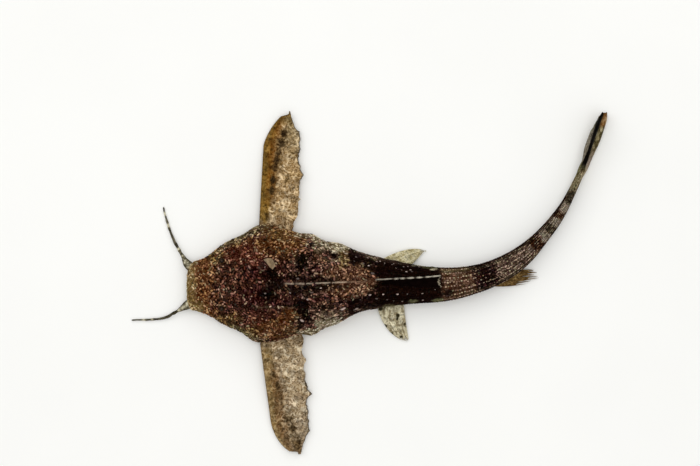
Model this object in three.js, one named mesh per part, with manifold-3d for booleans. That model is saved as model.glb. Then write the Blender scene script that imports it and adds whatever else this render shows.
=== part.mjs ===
// A whole dried banjo catfish lying on its belly: one closed solid of head, trunk, tail, fins and barbels.
// Millimetres, +Z up. The snout points to -X and the tail sweeps round towards +Y. The origin is on the
// resting surface, in the flat of the belly under the shoulder girdle.
import * as THREE from "three";
import { mergeVertices } from "three/addons/utils/BufferGeometryUtils.js";
import Module from "manifold-3d";

const { lerp, smoothstep, degToRad, clamp } = THREE.MathUtils;

// Driving dimensions: the length from snout to tail fin base along the midline, the width across the
// shoulders and the depth at the nape. Every other length is a share of one of these or a real size in mm.
const STANDARD_LENGTH = 96;
const SHOULDER_WIDTH = 25.2;
const NAPE_DEPTH = 12.4;

const ORIGIN_AT = 19.2; // the origin's distance behind the snout
const BEND_FROM = STANDARD_LENGTH / 2; // the trunk is straight as far as this
const TAIL_TURN = degToRad(66); // how far the tail has swung round at the tail fin's base
const SNOUT_END = { round: 1.7, power: 2.8, rings: 6 }; // the blunt snout rounds off over this length
const TAIL_END = { round: 2.4, power: 2, rings: 4 }; // the flesh tapers away inside the tail fin
const BELLY_FLAT = 2.9; // exponent of the underside's cross-section
const FLOOR_GAP = 0.25; // the fins stay this far above the resting surface
const RAY_RELIEF = 0.14; // how much thicker a fin is on a ray than between two
const RAGGED_PITCH = 13; // how closely the fins' frayed ends follow each other

const BODY_RINGS = 74;
const BODY_AROUND = 36;
const RING_SPREAD = 1.2; // over 1 the rings are closer together towards the head

// The outline and profile, from snout to tail fin. at and sway are in mm, half in half shoulder widths,
// and back, edge and belly are heights in nape depths. crown is the roundness of the upper section.
const STATIONS = [
  { at: 0, half: 0.39, back: 0.32, edge: 0.21, belly: 0.1, sway: -0.45, crown: 2.3 }, // snout
  { at: 3.5, half: 0.468, back: 0.44, edge: 0.2, belly: 0.04, sway: -0.14, crown: 2.1 }, // nostrils
  { at: 8.7, half: 0.725, back: 0.6, edge: 0.21, belly: 0, sway: 0.12, crown: 1.9 }, // eyes
  { at: 12, half: 0.842, back: 0.71, edge: 0.22, belly: -0.01, sway: 0.17, crown: 1.85 }, // cheeks
  { at: 15.2, half: 1.0, back: 0.79, edge: 0.23, belly: -0.015, sway: 0.2, crown: 1.8 }, // shoulders
  { at: 19, half: 0.98, back: 0.88, edge: 0.23, belly: -0.02, sway: 0.2, crown: 1.75 }, // fin sockets
  { at: 24.5, half: 0.87, back: 0.97, edge: 0.24, belly: -0.02, sway: 0.2, crown: 1.75 }, // back of the skull
  { at: 27, half: 0.857, back: 0.99, edge: 0.25, belly: -0.02, sway: -0.02, crown: 1.75 }, // shoulder processes
  { at: 29.8, half: 0.75, back: 1.0, edge: 0.27, belly: -0.015, sway: 0.02, crown: 1.75 },
  { at: 33, half: 0.675, back: 0.99, edge: 0.3, belly: -0.01, sway: 0.35, crown: 1.75 },
  { at: 37, half: 0.52, back: 0.95, edge: 0.34, belly: 0.01, sway: 0.6, crown: 1.8 }, // waist
  { at: 43, half: 0.408, back: 0.86, edge: 0.35, belly: 0.04, sway: 0.45, crown: 1.95 }, // dorsal fin
  { at: 50, half: 0.321, back: 0.74, edge: 0.34, belly: 0.07, sway: 0.1, crown: 2.15 },
  { at: 56, half: 0.281, back: 0.67, edge: 0.34, belly: 0.08, sway: -0.13, crown: 2.3 },
  { at: 62, half: 0.238, back: 0.61, edge: 0.33, belly: 0.09, sway: -0.07, crown: 2.4 },
  { at: 72, half: 0.187, back: 0.53, edge: 0.31, belly: 0.1, sway: 0.03, crown: 2.5 }, // anal fin
  { at: 80, half: 0.122, back: 0.47, edge: 0.28, belly: 0.09, sway: 0.24, crown: 2.5 },
  { at: 85, half: 0.098, back: 0.44, edge: 0.265, belly: 0.08, sway: 0.06, crown: 2.45 },
  { at: 89, half: 0.074, back: 0.42, edge: 0.25, belly: 0.07, sway: -0.08, crown: 2.4 },
  { at: 98.4, half: 0.05, back: 0.4, edge: 0.22, belly: 0.04, sway: -0.2, crown: 2.2 }, // in the tail fin
];

// Bony ridges of the skull and back, each on both sides where side isn't 0: they run from one distance
// behind the snout to another, and from one distance off the midline to another.
const RIDGES = [
  { from: 20, to: 41, side: 0, sideEnd: 0, width: 0.8, rise: 0.65 }, // crest of the skull and nape
  { from: 3, to: 9.5, side: 2.2, sideEnd: 4.9, width: 0.9, rise: 0.45 }, // from nostril to brow
  { from: 9, to: 20, side: 5.2, sideEnd: 5.6, width: 1.0, rise: 0.45 },
  { from: 21, to: 35, side: 4.2, sideEnd: 3.4, width: 0.9, rise: 0.45 },
  { from: 20, to: 34, side: 8.6, sideEnd: 6.6, width: 1.0, rise: 0.5 }, // shoulder processes
];
// Round knobs (rise above 0) and hollows (rise under 0) on both sides of the head.
const KNOBS = [
  { at: 7.9, side: 5.0, radius: 1.3, rise: 0.5 }, // brow over the eye
  { at: 15.5, side: 7.6, radius: 2.0, rise: 0.45 },
  { at: 18.4, side: 2.9, radius: 2.2, rise: -0.65 }, // soft spots of the skull
  { at: 25.2, side: 5.0, radius: 1.7, rise: -0.9 }, // pits behind the skull
  { at: 27, side: 9.0, radius: 1.8, rise: 0.45 },
  { at: 12.5, side: 2.6, radius: 2.2, rise: -0.4 },
];

const EYE = { at: 7.6, side: 5.3, radius: 0.62 };
const NOSTRIL = { at: 0.9, side: 2.65, radius: 0.34, mouthRadius: 0.26, length: 1.35, height: 3.4 };
const MOUTH = { halfWidth: 4.4, height: 1.75, radius: 0.32, steps: 12 };
const FLAKE = { at: 18.1, side: 4.5, radius: 0.95, thick: 0.3, tilt: degToRad(-24) }; // a chip on the head

const PECTORAL = {
  length: 24.9,
  tip: 5.3, // the tip's place across the fin
  rearCorner: 20.2, // where the rear edge turns in to the tip
  barbReach: 0.75, // a ray end sticks out of the rear edge: how far, and how wide towards the tip
  barbWidth: 0.5,
  frayReach: 0.18,
  frayPitch: 2.1,
  root: 5.5, // how far the fin runs on into the shoulder, and how much it narrows there
  rootLead: 1.2,
  rootTrail: 1.8,
  baseHeight: 2.7,
  wave: 0.28,
  spineThick: 1.5,
  spineTo: 0.34, // the thick first spine's share of the width
  membraneThick: 0.5,
  rays: 6,
};
// The right and the left pectoral fin: the place of the leading edge's base, the lean to the rear, how far
// out the leading edge is straight before it rounds back to the tip, the exponent of that rounding, and
// where the ray end sticks out and how far before it the rear edge begins to swell.
const PECTORAL_FINS = [
  {
    sign: 1,
    x: -3.6,
    y: 13.1,
    lean: degToRad(3),
    tipHeight: 1.1,
    width: 8.3,
    straight: 16.9,
    rounding: 1.55,
    barbAt: 11.1,
    barbSlope: 2.2,
  },
  {
    sign: -1,
    x: -3.38,
    y: -12.9,
    lean: degToRad(7.6),
    tipHeight: 0.9,
    width: 8.8,
    straight: 16.8,
    rounding: 1.6,
    barbAt: 12.2,
    barbSlope: 3.4,
  },
];
// The right and the left pelvic fin and the anal fin: each a fan between a front and a rear edge, and
// each edge bent through a root, a middle and a tip point.
const FAN_FINS = [
  {
    front: [[21.2, 4.4, 1.9], [27.3, 7.3, 1.2], [32.2, 7.5, 0.6]],
    rear: [[27.4, 2.6, 1.9], [29.8, 4.6, 1.2], [31.9, 6.9, 0.6]],
    crown: 0.05, // how much further the middle rays reach, as a share
    ragged: 0.03,
    rays: 6,
    thick: 0.42,
  },
  {
    front: [[21.6, -2.4, 1.8], [23.6, -8.7, 0.9], [27.6, -12.2, 0.5]],
    rear: [[27.6, -2.4, 1.8], [28.2, -7.6, 0.9], [28.9, -12.0, 0.5]],
    crown: 0.03,
    ragged: 0.03,
    rays: 6,
    thick: 0.42,
  },
  {
    front: [[44.6, -0.1, 1.9], [49.2, -0.45, 1.2], [54.5, 0.15, 0.6]],
    rear: [[50.4, 2.6, 1.9], [53.6, 3.2, 1.2], [56.2, 3.1, 0.6]],
    crown: 0.13,
    ragged: 0.07,
    rays: 7,
    thick: 0.45,
  },
];
const FAN_ROOT_THICKER = 1.6;
// The dorsal fin is folded down: where its first and its last ray start and end, as distances behind the
// snout and off the midline.
const DORSAL = {
  rootFirst: [40.6, 1.2],
  rootLast: [44.6, 0.2],
  tipFirst: [54.9, 1.95],
  tipLast: [54.9, -0.6],
  tipCrown: -0.3, // how much further the middle rays reach
  lift: 0.28,
  firstRayLift: 0.35,
  firstRayThicker: 0.3,
  rootThick: 0.75,
  thick: 0.45,
  rays: 6,
};
const CAUDAL = {
  start: 92.4, // the fin's root, inside the end of the flesh
  reach: 18.1,
  notch: 4.4, // the upper middle rays are this much shorter
  notchAt: 0.3,
  notchWidth: 0.17,
  rootTop: 4.3,
  rootBottom: 1.1,
  height: 6.9,
  rightBulge: 1.4, // towards the inside of the bend
  leftBulge: 1.1,
  rootSway: -0.15,
  tipSway: 0.45,
  rootThick: 0.7,
  thick: 0.38,
  rays: 10,
};

// The long barbels at the corners of the mouth and the four short ones of the chin, by the places that
// each passes from its base to its tip.
const LONG_BARBEL = { base: 0.6, tip: 0.18 };
const CHIN_BARBEL = { base: 0.34, tip: 0.18 };
const RIGHT_BARBEL_ROUTE = [
  [-17.6, 3.0, 2.4],
  [-19.3, 4.75, 2.3],
  [-20.9, 7.3, 1.5],
  [-22.45, 10.2, 0.8],
  [-23.95, 14.6, 0.5],
  [-24.5, 16.9, 0.45],
];
const LEFT_BARBEL_ROUTE = [
  [-17.4, -3.5, 2.3],
  [-19.4, -4.6, 2.1],
  [-21.8, -6.0, 1.3],
  [-23.9, -7.15, 0.8],
  [-26.5, -7.6, 0.5],
  [-31.5, -7.8, 0.45],
];
const CHIN_BARBEL_ROUTES = [
  [
    [-15.6, 1.9, 1.3],
    [-16.9, 2.4, 0.7],
    [-18.3, 2.7, 0.5],
  ],
  [
    [-13.0, 3.4, 1.0],
    [-14.3, 4.4, 0.55],
    [-16.2, 4.6, 0.45],
  ],
];

const bodyAt = buildProfile();

// The stations' values at any distance s behind the snout, as heights and widths in mm.
function buildProfile() {
  const half = SHOULDER_WIDTH / 2;
  const values = STATIONS.flatMap((p) => [
    p.half * half,
    p.back * NAPE_DEPTH,
    p.edge * NAPE_DEPTH,
    p.belly * NAPE_DEPTH,
    p.sway,
    p.crown,
  ]);
  const curve = new THREE.CubicInterpolant(
    Float32Array.from(STATIONS, (p) => p.at),
    Float32Array.from(values),
    6,
  );
  return (s) => {
    const [halfWidth, back, edge, belly, sway, crown] = curve.evaluate(s);
    return { halfWidth, back, edge, belly, sway, crown };
  };
}

// The midline seen from above: straight, then bending smoothly towards +Y.
function midlinePoint(s) {
  const point = new THREE.Vector2(Math.min(s, BEND_FROM) - ORIGIN_AT, 0);
  const bent = Math.max(s - BEND_FROM, 0);
  const steps = 40;
  for (let i = 0; i < steps; i++) {
    const angle = heading(BEND_FROM + (bent * (i + 0.5)) / steps);
    point.x += (bent / steps) * Math.cos(angle);
    point.y += (bent / steps) * Math.sin(angle);
  }
  return point;
}

// The midline's direction there, as an angle from +X.
function heading(s) {
  return TAIL_TURN * smoothstep(s, BEND_FROM, STANDARD_LENGTH);
}

// A point at s behind the snout, side to the fish's right of the midline, and at a height.
function place(s, side, height) {
  const point = midlinePoint(s);
  const angle = heading(s);
  return new THREE.Vector3(point.x - side * Math.sin(angle), point.y + side * Math.cos(angle), height);
}

// Ring number index from the end: its distance from the end, and how far the section has opened there.
function endRing(end, index) {
  const angle = (Math.PI / 2) * (index / end.rings);
  return {
    distance: end.round * (1 - Math.pow(Math.cos(angle), 2 / end.power)),
    open: Math.pow(Math.sin(angle), 2 / end.power),
  };
}

// Where each ring of the body lies: s behind the snout, and how far its section has opened.
function ringAt(index) {
  const length = STATIONS.at(-1).at;
  if (index <= SNOUT_END.rings) {
    const { distance, open } = endRing(SNOUT_END, index);
    return { s: distance, open };
  }
  if (index >= BODY_RINGS - TAIL_END.rings) {
    const { distance, open } = endRing(TAIL_END, BODY_RINGS - index);
    return { s: length - distance, open };
  }
  const share = (index - SNOUT_END.rings) / (BODY_RINGS - TAIL_END.rings - SNOUT_END.rings);
  return { s: lerp(SNOUT_END.round, length - TAIL_END.round, Math.pow(share, RING_SPREAD)), open: 1 };
}

// Ridges, knobs and hollows of the upper side, as a height to add.
function relief(s, side) {
  let height = 0;
  for (const ridge of RIDGES) {
    const along = clamp((s - ridge.from) / (ridge.to - ridge.from), 0, 1);
    const line = lerp(ridge.side, ridge.sideEnd, along);
    height += ridge.rise * bump(Math.abs(side), line, ridge.width) * Math.sqrt(Math.sin(Math.PI * along));
  }
  for (const knob of KNOBS) {
    height += knob.rise * bump(Math.hypot(s - knob.at, Math.abs(side) - knob.side), 0, knob.radius);
  }
  return height;
}

// Signed power, for a superellipse.
function swell(value, roundness) {
  return Math.sign(value) * Math.pow(Math.abs(value), 2 / roundness);
}

// A point of the skin on a ring: turn goes round the section, 0 at the right edge, a quarter turn at
// the back and three quarters at the belly.
function skinPoint(ring, turn) {
  const { halfWidth, back, edge, belly, sway, crown } = bodyAt(ring.s);
  const up = Math.sin(turn);
  const roundness = up >= 0 ? crown : BELLY_FLAT;
  const side = halfWidth * ring.open * swell(Math.cos(turn), roundness);
  const tall = (up >= 0 ? back - edge : edge - belly) * ring.open;
  const raised = up > 0 ? relief(ring.s, side) * up * ring.open : 0;
  const height = edge + tall * swell(up, roundness) + raised;
  return place(ring.s, side + sway, Math.max(height, 0));
}

// The height of the back at s and side, for what lies on it.
function backHeight(s, side) {
  const { halfWidth, back, edge, sway, crown } = bodyAt(s);
  const across = Math.min(Math.abs(side - sway) / halfWidth, 1);
  const dome = Math.pow(1 - Math.pow(across, crown), 1 / crown);
  return edge + (back - edge) * dome + relief(s, side - sway) * dome;
}

// A closed skin from a sphere whose poles go to the snout and the tail.
function bodyGeometry() {
  const geometry = new THREE.SphereGeometry(1, BODY_AROUND, BODY_RINGS);
  const position = geometry.attributes.position;
  for (let i = 0; i < position.count; i++) {
    const latitude = Math.acos(clamp(position.getY(i), -1, 1)) / Math.PI;
    const ring = ringAt(Math.round(BODY_RINGS * latitude));
    const skin = skinPoint(ring, Math.atan2(position.getZ(i), position.getX(i)));
    position.setXYZ(i, skin.x, skin.y, skin.z);
  }
  return geometry;
}

// A thin wavy plate: along and across run from 0 to 1, and surface gives the middle of the plate, which
// gets its thickness from thickness(along, across). Both faces are split alike.
function plateGeometry(stepsAlong, stepsAcross, surface, thickness) {
  const geometry = new THREE.BoxGeometry(1, 1, 1, stepsAlong, stepsAcross, 1);
  const position = geometry.attributes.position;
  for (let i = 0; i < position.count; i++) {
    const along = position.getX(i) + 0.5;
    const across = position.getY(i) + 0.5;
    const middle = surface(along, across);
    const half = (thickness(along, across) / 2) * Math.sign(position.getZ(i));
    const normal = plateNormal(surface, along, across);
    middle.addScaledVector(normal, half);
    position.setXYZ(i, middle.x, middle.y, Math.max(middle.z, FLOOR_GAP));
  }
  return geometry;
}

// The direction that the plate's upper face looks in.
function plateNormal(surface, along, across) {
  const step = 0.01;
  const ahead = surface(Math.min(along + step, 1), across).sub(surface(Math.max(along - step, 0), across));
  const aside = surface(along, Math.min(across + step, 1)).sub(surface(along, Math.max(across - step, 0)));
  return ahead.cross(aside).normalize();
}

// A tapered round body along a curve, such as a barbel.
function taperGeometry(curve, radius, sides, steps) {
  const geometry = new THREE.CylinderGeometry(1, 1, 1, sides, steps);
  const frames = curve.computeFrenetFrames(steps, false);
  const position = geometry.attributes.position;
  for (let i = 0; i < position.count; i++) {
    const along = clamp(position.getY(i) + 0.5, 0, 1);
    const ring = Math.round(along * steps);
    const point = curve.getPointAt(along);
    point.addScaledVector(frames.normals[ring], position.getX(i) * radius(along));
    point.addScaledVector(frames.binormals[ring], -position.getZ(i) * radius(along));
    position.setXYZ(i, point.x, point.y, point.z);
  }
  return geometry;
}

// 1 on a fin ray and 0 half way between two, for a fin of so many rays.
function rayCrest(across, rays) {
  return Math.pow(Math.cos(Math.PI * across * (rays - 1)), 2);
}

// A smooth bump of height 1 round a centre.
function bump(value, centre, width) {
  return Math.exp(-Math.pow((value - centre) / width, 2));
}

// The leading edge of a pectoral fin is straight, then rounds back to the pointed tip.
function pectoralLeading(distance, { straight, rounding }) {
  const { length, tip } = PECTORAL;
  const share = clamp((distance - straight) / (length - straight), 0, 1);
  return tip * (1 - Math.pow(1 - Math.pow(share, rounding), 1 / rounding));
}

// Its rear edge is frayed, with one ray end that sticks out, and turns in to the tip.
function pectoralTrailing(distance, { width, barbAt, barbSlope }) {
  const { length, tip, rearCorner, barbReach, barbWidth, frayReach, frayPitch } = PECTORAL;
  const rise = Math.pow(clamp(1 - (barbAt - distance) / barbSlope, 0, 1), 2);
  const barb = barbReach * (distance < barbAt ? rise : bump(distance, barbAt, barbWidth));
  const fray = frayReach * (Math.sin(frayPitch * distance) + 0.5 * Math.sin(2.2 * frayPitch * distance));
  const inward = clamp((distance - rearCorner) / (length - rearCorner), 0, 1);
  return lerp(width, tip + PECTORAL.membraneThick / 2, Math.pow(inward, 0.8)) + (barb + fray) * (1 - inward);
}

// A pectoral fin spreads sideways from the shoulder and droops to the resting surface. across runs from
// its leading edge on the right fin and from its rear edge on the left one, so both face up.
function pectoralGeometry(fin) {
  const { length, root, rootLead, rootTrail, baseHeight, wave, spineThick, spineTo, membraneThick, rays } =
    PECTORAL;
  const outward = new THREE.Vector2(Math.sin(fin.lean), fin.sign * Math.cos(fin.lean));
  const backward = new THREE.Vector2(Math.cos(fin.lean), -fin.sign * Math.sin(fin.lean));
  const fromLeading = (across) => (fin.sign > 0 ? across : 1 - across);
  const surface = (along, across) => {
    const distance = lerp(-root, length, along);
    const inside = clamp(-distance / root, 0, 1);
    const out = clamp(distance / length, 0, 1);
    const leading = pectoralLeading(distance, fin) + rootLead * inside;
    const trailing = pectoralTrailing(Math.max(distance, 0), fin) - rootTrail * inside;
    const offset = lerp(leading, trailing, fromLeading(across));
    const droop = lerp(baseHeight, fin.tipHeight, smoothstep(out, 0, 0.8));
    return new THREE.Vector3(
      fin.x + outward.x * distance + backward.x * offset,
      fin.y + outward.y * distance + backward.y * offset,
      droop + wave * Math.sin(5.5 * out + 0.5 * offset) * out,
    );
  };
  const thickness = (along, across) => {
    const share = fromLeading(across);
    const spine = (spineThick - membraneThick) * (1 - smoothstep(share, 0.1, spineTo));
    const taper = lerp(1, 0.4, smoothstep(along, 0.3, 1));
    return membraneThick + spine * taper + RAY_RELIEF * rayCrest(share, rays);
  };
  return plateGeometry(19, 10, surface, thickness);
}

// A fan of rays between two bent edges: a pelvic fin or the anal fin, spread on the resting surface.
function fanGeometry(fin) {
  const front = bentEdge(fin.front);
  const rear = bentEdge(fin.rear);
  const surface = (along, across) => {
    const ragged = fin.ragged * Math.sin(RAGGED_PITCH * across);
    const reach = along * (1 + fin.crown * Math.sin(Math.PI * across) + ragged);
    return rear.getPoint(reach).lerp(front.getPoint(reach), across);
  };
  const thickness = (along, across) =>
    fin.thick * lerp(FAN_ROOT_THICKER, 1, along) + RAY_RELIEF * rayCrest(across, fin.rays);
  return plateGeometry(8, 9, surface, thickness);
}

// An edge that passes through its root, middle and tip points.
function bentEdge([root, middle, tip]) {
  const ends = [new THREE.Vector3(...root), new THREE.Vector3(...tip)];
  const control = new THREE.Vector3(...middle).multiplyScalar(2);
  control.addScaledVector(ends[0], -0.5).addScaledVector(ends[1], -0.5);
  return new THREE.QuadraticBezierCurve3(ends[0], control, ends[1]);
}

// The dorsal fin is folded down on the back, its first ray near the midline and the rest to its left.
function dorsalGeometry() {
  const pair = (first, last, across) => new THREE.Vector2(...first).lerp(new THREE.Vector2(...last), across);
  const surface = (along, across) => {
    const at = pair(DORSAL.rootFirst, DORSAL.rootLast, across);
    at.lerp(pair(DORSAL.tipFirst, DORSAL.tipLast, across), along);
    at.x += DORSAL.tipCrown * Math.sin(Math.PI * across) * along;
    const lift = DORSAL.lift * smoothstep(along, 0, 0.35);
    const firstRay = DORSAL.firstRayLift * (1 - across) * Math.sin(Math.PI * along);
    return place(at.x, at.y, backHeight(at.x, at.y) + lift + firstRay);
  };
  const thickness = (along, across) =>
    lerp(DORSAL.rootThick, DORSAL.thick, along) +
    (across < 1 / DORSAL.rays ? DORSAL.firstRayThicker : 0) +
    RAY_RELIEF * rayCrest(across, DORSAL.rays);
  return plateGeometry(10, 10, surface, thickness);
}

// The tail fin stands on edge and is half closed, so that seen from above it is an S: its upper middle
// rays bulge to the fish's right and its lower ones to the left.
function caudalGeometry() {
  const surface = (along, across) => {
    const length = CAUDAL.reach - CAUDAL.notch * bump(across, CAUDAL.notchAt, CAUDAL.notchWidth);
    const top = lerp(CAUDAL.rootTop, CAUDAL.height, smoothstep(along, 0.1, 0.9));
    const bottom = lerp(CAUDAL.rootBottom, FLOOR_GAP + CAUDAL.thick / 2, smoothstep(along, 0.1, 0.6));
    const upper = CAUDAL.rightBulge * bump(along, 0.85, 0.26);
    const lower = CAUDAL.leftBulge * bump(along, 0.59, 0.34);
    const bulge = Math.sin(2 * Math.PI * across) * (across < 0.5 ? upper : lower);
    const side = bulge + lerp(CAUDAL.rootSway, CAUDAL.tipSway, along * along);
    return place(CAUDAL.start + length * along, side, lerp(top, bottom, across));
  };
  const thickness = (along, across) =>
    lerp(CAUDAL.rootThick, CAUDAL.thick, along) + RAY_RELIEF * rayCrest(across, CAUDAL.rays);
  return plateGeometry(10, 18, surface, thickness);
}

// A barbel droops from its base and lies along the resting surface.
function barbelGeometry(route, barbel) {
  const curve = new THREE.CatmullRomCurve3(route.map((point) => new THREE.Vector3(...point)));
  const radius = (along) => lerp(barbel.base, barbel.tip, Math.pow(along, 0.6));
  return taperGeometry(curve, radius, 6, 3 * (route.length - 1));
}

function barbelGeometries() {
  const mirrored = (route) => route.map(([x, y, z]) => [x, -y, z]);
  const chin = CHIN_BARBEL_ROUTES.flatMap((route) => [route, mirrored(route)]);
  return [
    barbelGeometry(RIGHT_BARBEL_ROUTE, LONG_BARBEL),
    barbelGeometry(LEFT_BARBEL_ROUTE, LONG_BARBEL),
    ...chin.map((route) => barbelGeometry(route, CHIN_BARBEL)),
  ];
}

// The front nostrils are short tubes that stick out over the lip.
function nostrilGeometries() {
  return [1, -1].map((sign) => {
    const side = NOSTRIL.side * sign + bodyAt(0).sway;
    const tube = new THREE.CylinderGeometry(NOSTRIL.mouthRadius, NOSTRIL.radius, NOSTRIL.length, 8);
    tube.rotateZ(Math.PI / 2);
    const root = place(NOSTRIL.at, side, NOSTRIL.height);
    return tube.translate(root.x - NOSTRIL.length / 2, root.y, root.z);
  });
}

// The eyes are tiny and stand a little proud of the head.
function eyeGeometries() {
  return [1, -1].map((sign) => {
    const side = EYE.side * sign + bodyAt(EYE.at).sway;
    const eye = new THREE.SphereGeometry(EYE.radius, 10, 8);
    const centre = place(EYE.at, side, backHeight(EYE.at, side));
    return eye.translate(centre.x, centre.y, centre.z);
  });
}

// A thin chip of skin lies on the right half of the head.
function flakeGeometry() {
  const flake = new THREE.CylinderGeometry(FLAKE.radius, FLAKE.radius, FLAKE.thick, 7);
  flake.rotateX(Math.PI / 2 + FLAKE.tilt);
  const centre = place(FLAKE.at, FLAKE.side, backHeight(FLAKE.at, FLAKE.side) + FLAKE.thick / 2);
  return flake.translate(centre.x, centre.y, centre.z);
}

// The slit of the mouth follows the front of the snout, under the lip.
function mouthGeometry() {
  const { round, power } = SNOUT_END;
  const points = [];
  for (let i = 0; i <= MOUTH.steps; i++) {
    const side = lerp(-MOUTH.halfWidth, MOUTH.halfWidth, i / MOUTH.steps);
    const share = Math.pow(Math.abs(side) / bodyAt(0).halfWidth, power);
    const s = round * (1 - Math.pow(1 - share, 1 / power));
    points.push(place(s, side + bodyAt(s).sway, MOUTH.height));
  }
  return taperGeometry(new THREE.CatmullRomCurve3(points), () => MOUTH.radius, 6, 16);
}

const wasm = await Module();
wasm.setup();

// A closed three.js geometry as a solid for cutting and joining.
function toSolid(geometry) {
  const bare = geometry.clone();
  bare.deleteAttribute("normal");
  bare.deleteAttribute("uv");
  const merged = mergeVertices(bare, 1e-4);
  const solid = new wasm.Manifold(
    new wasm.Mesh({
      numProp: 3,
      vertProperties: merged.attributes.position.array,
      triVerts: new Uint32Array(merged.index.array),
    }),
  );
  if (solid.volume() < 0) throw new Error("a piece is inside out");
  return solid;
}

// The solid back as a three.js geometry.
function toGeometry(solid) {
  const mesh = solid.getMesh();
  const geometry = new THREE.BufferGeometry();
  geometry.setAttribute("position", new THREE.BufferAttribute(mesh.vertProperties, 3));
  geometry.setIndex(new THREE.BufferAttribute(mesh.triVerts, 1));
  geometry.computeVertexNormals();
  return geometry;
}

// The whole fish: every fin, barbel, nostril and eye joined to the body, and the mouth cut in.
function fishGeometry() {
  const pieces = [
    ...PECTORAL_FINS.map(pectoralGeometry),
    ...FAN_FINS.map(fanGeometry),
    dorsalGeometry(),
    caudalGeometry(),
    ...barbelGeometries(),
    ...nostrilGeometries(),
    ...eyeGeometries(),
    flakeGeometry(),
  ];
  const joined = pieces.reduce((fish, piece) => fish.add(toSolid(piece)), toSolid(bodyGeometry()));
  return toGeometry(outerShell(joined.subtract(toSolid(mouthGeometry()))));
}

// The largest shell alone, which closes any pocket that two joined pieces have sealed between them.
function outerShell(solid) {
  const shells = solid.decompose();
  shells.sort((a, b) => b.volume() - a.volume());
  return shells[0];
}

const skin = new THREE.MeshStandardMaterial({ color: 0x4a2e1f, roughness: 0.72, metalness: 0 });
const fish = new THREE.Mesh(fishGeometry(), skin);
fish.name = "banjo_catfish";

const part = new THREE.Group();
part.add(fish);

export default part;
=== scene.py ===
"""A whole banjo catfish lying on its belly: skin, grains, fins, barbels and eyes, on a pale floor under soft
lamps.

A piece is modelled in millimetres, with +Z up, the snout towards -X and the tail sweeping round to +Y, and
becomes metres when it is finished. Most of the fish is first modelled straight, as (s, side, height): s runs
back from the snout along the midline, and side to the fish's right. The midline then bends it.
"""

import logging
import math
from dataclasses import astuple, dataclass, field
from enum import Enum
from typing import Any, Callable, Protocol, Sequence

import bpy
import numpy as np
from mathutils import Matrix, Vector, noise
from mathutils.kdtree import KDTree


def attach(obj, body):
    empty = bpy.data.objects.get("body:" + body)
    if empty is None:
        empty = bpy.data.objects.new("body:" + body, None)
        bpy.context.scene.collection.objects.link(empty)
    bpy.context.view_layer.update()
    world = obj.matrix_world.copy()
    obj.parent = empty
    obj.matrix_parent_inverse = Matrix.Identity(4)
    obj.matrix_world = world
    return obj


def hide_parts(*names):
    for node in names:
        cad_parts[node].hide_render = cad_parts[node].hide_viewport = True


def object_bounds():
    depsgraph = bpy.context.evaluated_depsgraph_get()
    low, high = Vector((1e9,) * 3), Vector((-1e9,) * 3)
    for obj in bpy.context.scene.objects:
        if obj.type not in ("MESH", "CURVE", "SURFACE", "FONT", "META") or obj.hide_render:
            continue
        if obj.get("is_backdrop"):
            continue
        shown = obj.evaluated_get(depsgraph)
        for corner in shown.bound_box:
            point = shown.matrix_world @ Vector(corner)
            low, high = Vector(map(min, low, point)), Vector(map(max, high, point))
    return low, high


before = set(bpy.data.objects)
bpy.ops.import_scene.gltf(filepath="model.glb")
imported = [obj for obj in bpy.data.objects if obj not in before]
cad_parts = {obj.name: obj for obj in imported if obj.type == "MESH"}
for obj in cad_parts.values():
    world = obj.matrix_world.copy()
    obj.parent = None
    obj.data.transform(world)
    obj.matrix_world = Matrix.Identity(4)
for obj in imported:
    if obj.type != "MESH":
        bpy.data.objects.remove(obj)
CAD_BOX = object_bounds()

LOG = logging.getLogger("banjo_catfish")
BODY = "root"
CAD_NODE = "banjo_catfish"
MM = 0.001
TINY = 1e-9

Array = np.ndarray
Rgb = tuple[int, int, int]
Pair = tuple[float, float]
Point = tuple[float, float, float]
Socket = bpy.types.NodeSocket
Piece = bpy.types.Object
Material = bpy.types.Material


class Side(Enum):
    """A side of the fish, as the sign of its distance off the midline."""

    RIGHT = 1
    LEFT = -1

    def label(self, name: str) -> str:
        """A piece's name with its side before it."""
        return f"{self.name.lower()}_{name}"


def lerp(start: Any, end: Any, share: Any) -> Any:
    """The value at a share of the way from start to end."""
    return start + (end - start) * share


def ease(value: Any, low: float, high: float) -> Any:
    """A smooth step: 0 up to low, 1 from high on, and a smooth rise between."""
    share = np.clip((value - low) / (high - low), 0.0, 1.0)
    return share * share * (3 - 2 * share)


def bump(value: Any, centre: Any, width: Any) -> Any:
    """A smooth bump of height 1 round a centre."""
    return np.exp(-(((value - centre) / width) ** 2))


def rows(*columns: Any) -> Array:
    """Columns, or single values that fill a whole column, joined into rows."""
    return np.stack(np.broadcast_arrays(*columns), axis=-1)


def swell(value: Array, roundness: Any) -> Array:
    """Signed power, for a superellipse."""
    return np.sign(value) * np.abs(value) ** (2 / roundness)


def unit(vectors: Array) -> Array:
    """The same directions at length 1."""
    return vectors / (np.linalg.norm(vectors, axis=-1, keepdims=True) + TINY)


def rounded(inward: Array, reach: float) -> Array:
    """A rim's half-round profile: 0 at the very rim, and 1 from so far inward on."""
    return np.sqrt(np.clip(inward / reach, 0, 1))


def ray_crest(across: Array, rays: int) -> Array:
    """1 on a fin ray and 0 half way between two, for a fin of so many rays."""
    return np.cos(np.pi * across * (rays - 1)) ** 2


def ripple(points: Array, size: float, shift: float = 0.0) -> Array:
    """Smooth unevenness between about -1 and 1.

    Args:
        points: Places, one row each.
        size: How large the uneven spots are, in mm.
        shift: A different number gives a different pattern.

    Returns:
        One value for each point.
    """
    spots = (points / size + shift).tolist()
    return 1.6 * np.array([noise.noise(spot) for spot in spots])


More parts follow.
